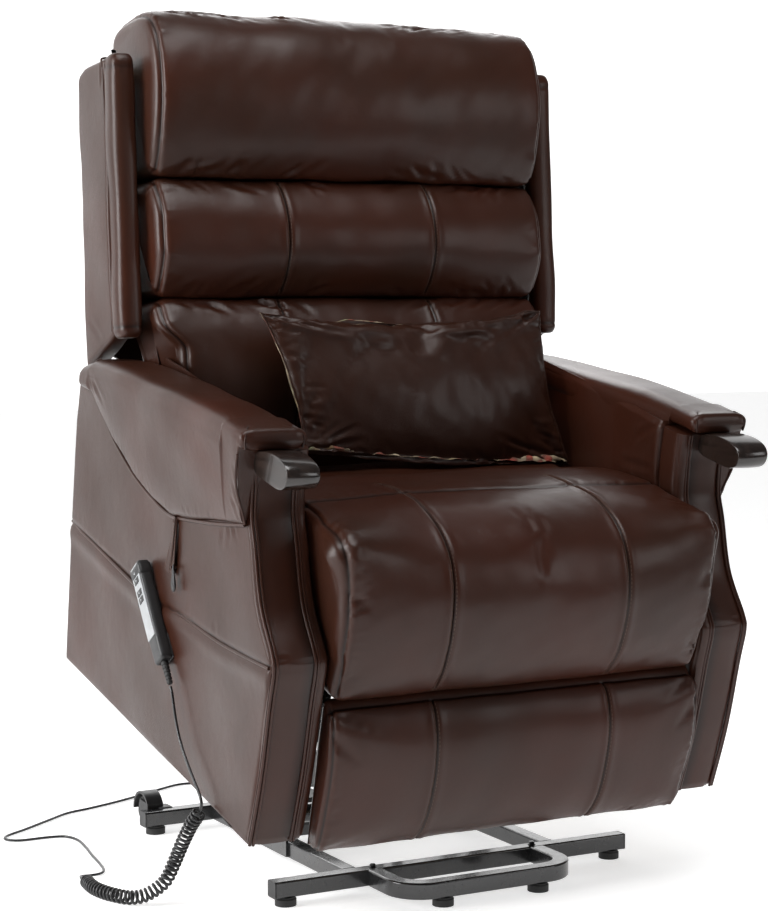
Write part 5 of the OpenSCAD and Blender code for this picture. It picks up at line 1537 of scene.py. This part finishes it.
def make_studio():
    world = bpy.data.worlds.new("studio")
    bpy.context.scene.world = world
    world.use_nodes = True
    world.node_tree.nodes["Background"].inputs["Color"].default_value = (1, 1, 1, 1)
    tree = world.node_tree
    seen = tree.nodes.new("ShaderNodeLightPath")
    strength = tree.nodes.new("ShaderNodeMapRange")
    strength.inputs["To Min"].default_value, strength.inputs["To Max"].default_value = 0.12, 1.0
    tree.links.new(seen.outputs["Is Camera Ray"], strength.inputs["Value"])
    tree.links.new(strength.outputs["Result"], tree.nodes["Background"].inputs["Strength"])
    whites = []
    for name, seen in (("floor_white", 0.14), ("wall_white", 0.6)):
        white = Look(name, roughness=0.95, specular=0.0)
        white.shader.inputs["Emission Color"].default_value = (1, 1, 1, 1)
        path = white.tree.nodes.new("ShaderNodeLightPath")
        either = white.mix(path.outputs["Is Camera Ray"], path.outputs["Is Glossy Ray"], (1.0, 1.0, 1.0))
        either = white.mix(path.outputs["Is Transmission Ray"], either, (1.0, 1.0, 1.0))
        white.put(white.ramp(either, [(0.0, 0.5), (1.0, 0.5 + seen)]),
                white.shader.inputs["Emission Strength"])
        whites.append(white.done((0.82, 0.82, 0.82)))
    sweep = [(4 + 3 * math.sin(t), 3 - 3 * math.cos(t)) for t in np.linspace(0, math.pi / 2, 13)]
    for name, line, shines in (("floor_near", [(-9, 0), (-1.9, 0)], False),
                               ("backdrop", [(-1.9, 0)] + sweep + [(7, 12)], True)):
        mesh = bpy.data.meshes.new(name)
        mesh.from_pydata([(x, y, z - 0.0006) for y, z in line for x in (-12, 12)], [],
                         [(2 * i, 2 * i + 1, 2 * i + 3, 2 * i + 2) for i in range(len(line) - 1)])
        mesh.shade_smooth()
        floor = bpy.data.objects.new(name, mesh)
        bpy.context.collection.objects.link(floor)
        floor.visible_glossy = shines
        for white in whites:
            mesh.materials.append(white)
        for polygon in mesh.polygons:
            polygon.material_index = int(polygon.center.z > 0.4)
    light("key", (-3.4, 0.3, 1.6), (0, 0.0, 0.6), (1.6, 2.2), 132)
    light("overhead", (-0.3, -0.9, 3.4), (0, 0, 0.5), (2.0, 1.4), 60)
    light("front_right", (2.4, -3.0, 1.5), (0.1, -0.1, 0.6), (1.0, 1.4), 14)
    light("rear", (1.2, 3.2, 2.6), (0, 0, 0.8), (2.5, 1.6), 30)
    bpy.context.scene.view_settings.view_transform = "Standard"
    bpy.context.scene.view_settings.look = "None"


# ---- The add-on ----

class LiftChairSizes(bpy.types.PropertyGroup):
    """Sizes of the chair's needlework."""

    stitch_length: bpy.props.FloatProperty(name="Stitch length", description="Length of one topstitch",
            unit="LENGTH",
                                           default=0.0044, min=0.002, max=0.010)
    stitch_gap: bpy.props.FloatProperty(name="Stitch gap", description="Leather between two topstitches",
            unit="LENGTH",
                                        default=0.0018, min=0.0006, max=0.006)
    thread_radius: bpy.props.FloatProperty(name="Thread radius",
            description="Half the thickness of the thread",
                                           unit="LENGTH", default=0.0005, min=0.0002, max=0.001)


class LiftChairColours(bpy.types.PropertyGroup):
    """Colours of the chair's finishes."""

    leather: bpy.props.FloatVectorProperty(name="Leather", description="Ground colour of the leather",
            subtype="COLOR",
                                           default=(0.030, 0.0098, 0.0052), min=0, max=1)
    leather_red: bpy.props.FloatVectorProperty(name="Leather patches",
            description="Warmer patches in the leather",
                                               subtype="COLOR", default=(0.058, 0.0112, 0.0046), min=0, max=1)
    thread: bpy.props.FloatVectorProperty(name="Thread", description="Colour of the topstitching",
            subtype="COLOR",
                                          default=(0.10, 0.058, 0.040), min=0, max=1)
    steel: bpy.props.FloatVectorProperty(name="Steel paint", description="Paint of the steel base",
            subtype="COLOR",
                                         default=(0.010, 0.010, 0.011), min=0, max=1)
    grip: bpy.props.FloatVectorProperty(name="Grip wood", description="Stained wood of the hand grips",
            subtype="COLOR",
                                        default=(0.022, 0.013, 0.010), min=0, max=1)


def looks_from(context):
    make_looks(context.scene.lift_chair_colours)
    dress_frame()


class CHAIR_OT_camera(bpy.types.Operator):
    """Set up the camera."""

    bl_idname = "liftchair.camera"
    bl_label = "Camera"

    def execute(self, context):
        make_camera()
        return {"FINISHED"}


class CHAIR_OT_looks(bpy.types.Operator):
    """Make the materials and dress the CAD parts."""

    bl_idname = "liftchair.looks"
    bl_label = "Finishes"

    def execute(self, context):
        looks_from(context)
        return {"FINISHED"}


class CHAIR_OT_cords(bpy.types.Operator):
    """Lay the handset's cord."""

    bl_idname = "liftchair.cords"
    bl_label = "Cords"

    def execute(self, context):
        make_cords()
        return {"FINISHED"}


class CHAIR_OT_seat(bpy.types.Operator):
    """Upholster the seat."""

    bl_idname = "liftchair.seat"
    bl_label = "Seat"

    def execute(self, context):
        make_seat()
        return {"FINISHED"}


class CHAIR_OT_footrest(bpy.types.Operator):
    """Upholster the footrest."""

    bl_idname = "liftchair.footrest"
    bl_label = "Footrest"

    def execute(self, context):
        make_footrest_pad()
        return {"FINISHED"}


class CHAIR_OT_back(bpy.types.Operator):
    """Upholster the three back sections."""

    bl_idname = "liftchair.back"
    bl_label = "Back cushions"

    def execute(self, context):
        make_back()
        return {"FINISHED"}


class CHAIR_OT_back_panel(bpy.types.Operator):
    """Cover the rear of the back."""

    bl_idname = "liftchair.back_panel"
    bl_label = "Back panel"

    def execute(self, context):
        make_back_panel()
        return {"FINISHED"}


class CHAIR_OT_wings(bpy.types.Operator):
    """Upholster the wings."""

    bl_idname = "liftchair.wings"
    bl_label = "Wings"

    def execute(self, context):
        make_wings()
        return {"FINISHED"}


class CHAIR_OT_sides(bpy.types.Operator):
    """Cover the side boxes."""

    bl_idname = "liftchair.sides"
    bl_label = "Side panels"

    def execute(self, context):
        make_sides()
        return {"FINISHED"}


class CHAIR_OT_posts(bpy.types.Operator):
    """Cover the front posts."""

    bl_idname = "liftchair.posts"
    bl_label = "Front posts"

    def execute(self, context):
        make_posts()
        return {"FINISHED"}


class CHAIR_OT_arms(bpy.types.Operator):
    """Upholster the arms."""

    bl_idname = "liftchair.arms"
    bl_label = "Arms"

    def execute(self, context):
        make_arms()
        return {"FINISHED"}


class CHAIR_OT_pillow(bpy.types.Operator):
    """Sew the lumbar pillow."""

    bl_idname = "liftchair.pillow"
    bl_label = "Pillow"

    def execute(self, context):
        make_pillow()
        return {"FINISHED"}


class CHAIR_OT_grips(bpy.types.Operator):
    """Shape the wooden grips."""

    bl_idname = "liftchair.grips"
    bl_label = "Hand grips"

    def execute(self, context):
        make_grips()
        return {"FINISHED"}


class CHAIR_OT_handset(bpy.types.Operator):
    """Model the handset."""

    bl_idname = "liftchair.handset"
    bl_label = "Handset"

    def execute(self, context):
        make_handset()
        return {"FINISHED"}


class CHAIR_OT_strap(bpy.types.Operator):
    """Make the strap and its pull."""

    bl_idname = "liftchair.strap"
    bl_label = "Strap"

    def execute(self, context):
        make_strap()
        return {"FINISHED"}


class CHAIR_OT_fittings(bpy.types.Operator):
    """Bolts, washers and covers."""

    bl_idname = "liftchair.fittings"
    bl_label = "Fittings"

    def execute(self, context):
        make_fittings()
        return {"FINISHED"}


class CHAIR_OT_studio(bpy.types.Operator):
    """Floor and lights."""

    bl_idname = "liftchair.studio"
    bl_label = "Studio"

    def execute(self, context):
        make_studio()
        return {"FINISHED"}


OPERATORS = [
    CHAIR_OT_camera,
    CHAIR_OT_looks,
    CHAIR_OT_cords,
    CHAIR_OT_seat,
    CHAIR_OT_footrest,
    CHAIR_OT_back,
    CHAIR_OT_back_panel,
    CHAIR_OT_wings,
    CHAIR_OT_sides,
    CHAIR_OT_posts,
    CHAIR_OT_arms,
    CHAIR_OT_pillow,
    CHAIR_OT_grips,
    CHAIR_OT_handset,
    CHAIR_OT_strap,
    CHAIR_OT_fittings,
    CHAIR_OT_studio,
]


class CHAIR_PT_panel(bpy.types.Panel):
    """Lists the steps that dress the chair."""

    bl_label = "Lift chair"
    bl_space_type = "VIEW_3D"
    bl_region_type = "UI"
    bl_category = "Lift chair"

    def draw(self, context):
        colours = context.scene.lift_chair_colours
        for name in ("leather", "leather_red", "thread", "steel", "grip"):
            self.layout.prop(colours, name)
        for name in ("stitch_length", "stitch_gap", "thread_radius"):
            self.layout.prop(context.scene.lift_chair_sizes, name)
        for item in OPERATORS:
            self.layout.operator(item.bl_idname)


CLASSES = [LiftChairSizes, LiftChairColours, *OPERATORS, CHAIR_PT_panel]


def register():
    for item in CLASSES:
        bpy.utils.register_class(item)
    bpy.types.Scene.lift_chair_sizes = bpy.props.PointerProperty(type=LiftChairSizes)
    bpy.types.Scene.lift_chair_colours = bpy.props.PointerProperty(type=LiftChairColours)


def unregister():
    del bpy.types.Scene.lift_chair_colours
    del bpy.types.Scene.lift_chair_sizes
    for item in reversed(CLASSES):
        bpy.utils.unregister_class(item)


def main():
    register()
    for item in OPERATORS:
        getattr(bpy.ops.liftchair, item.bl_idname.split(".")[1])()


if __name__ == "__main__":
    main()
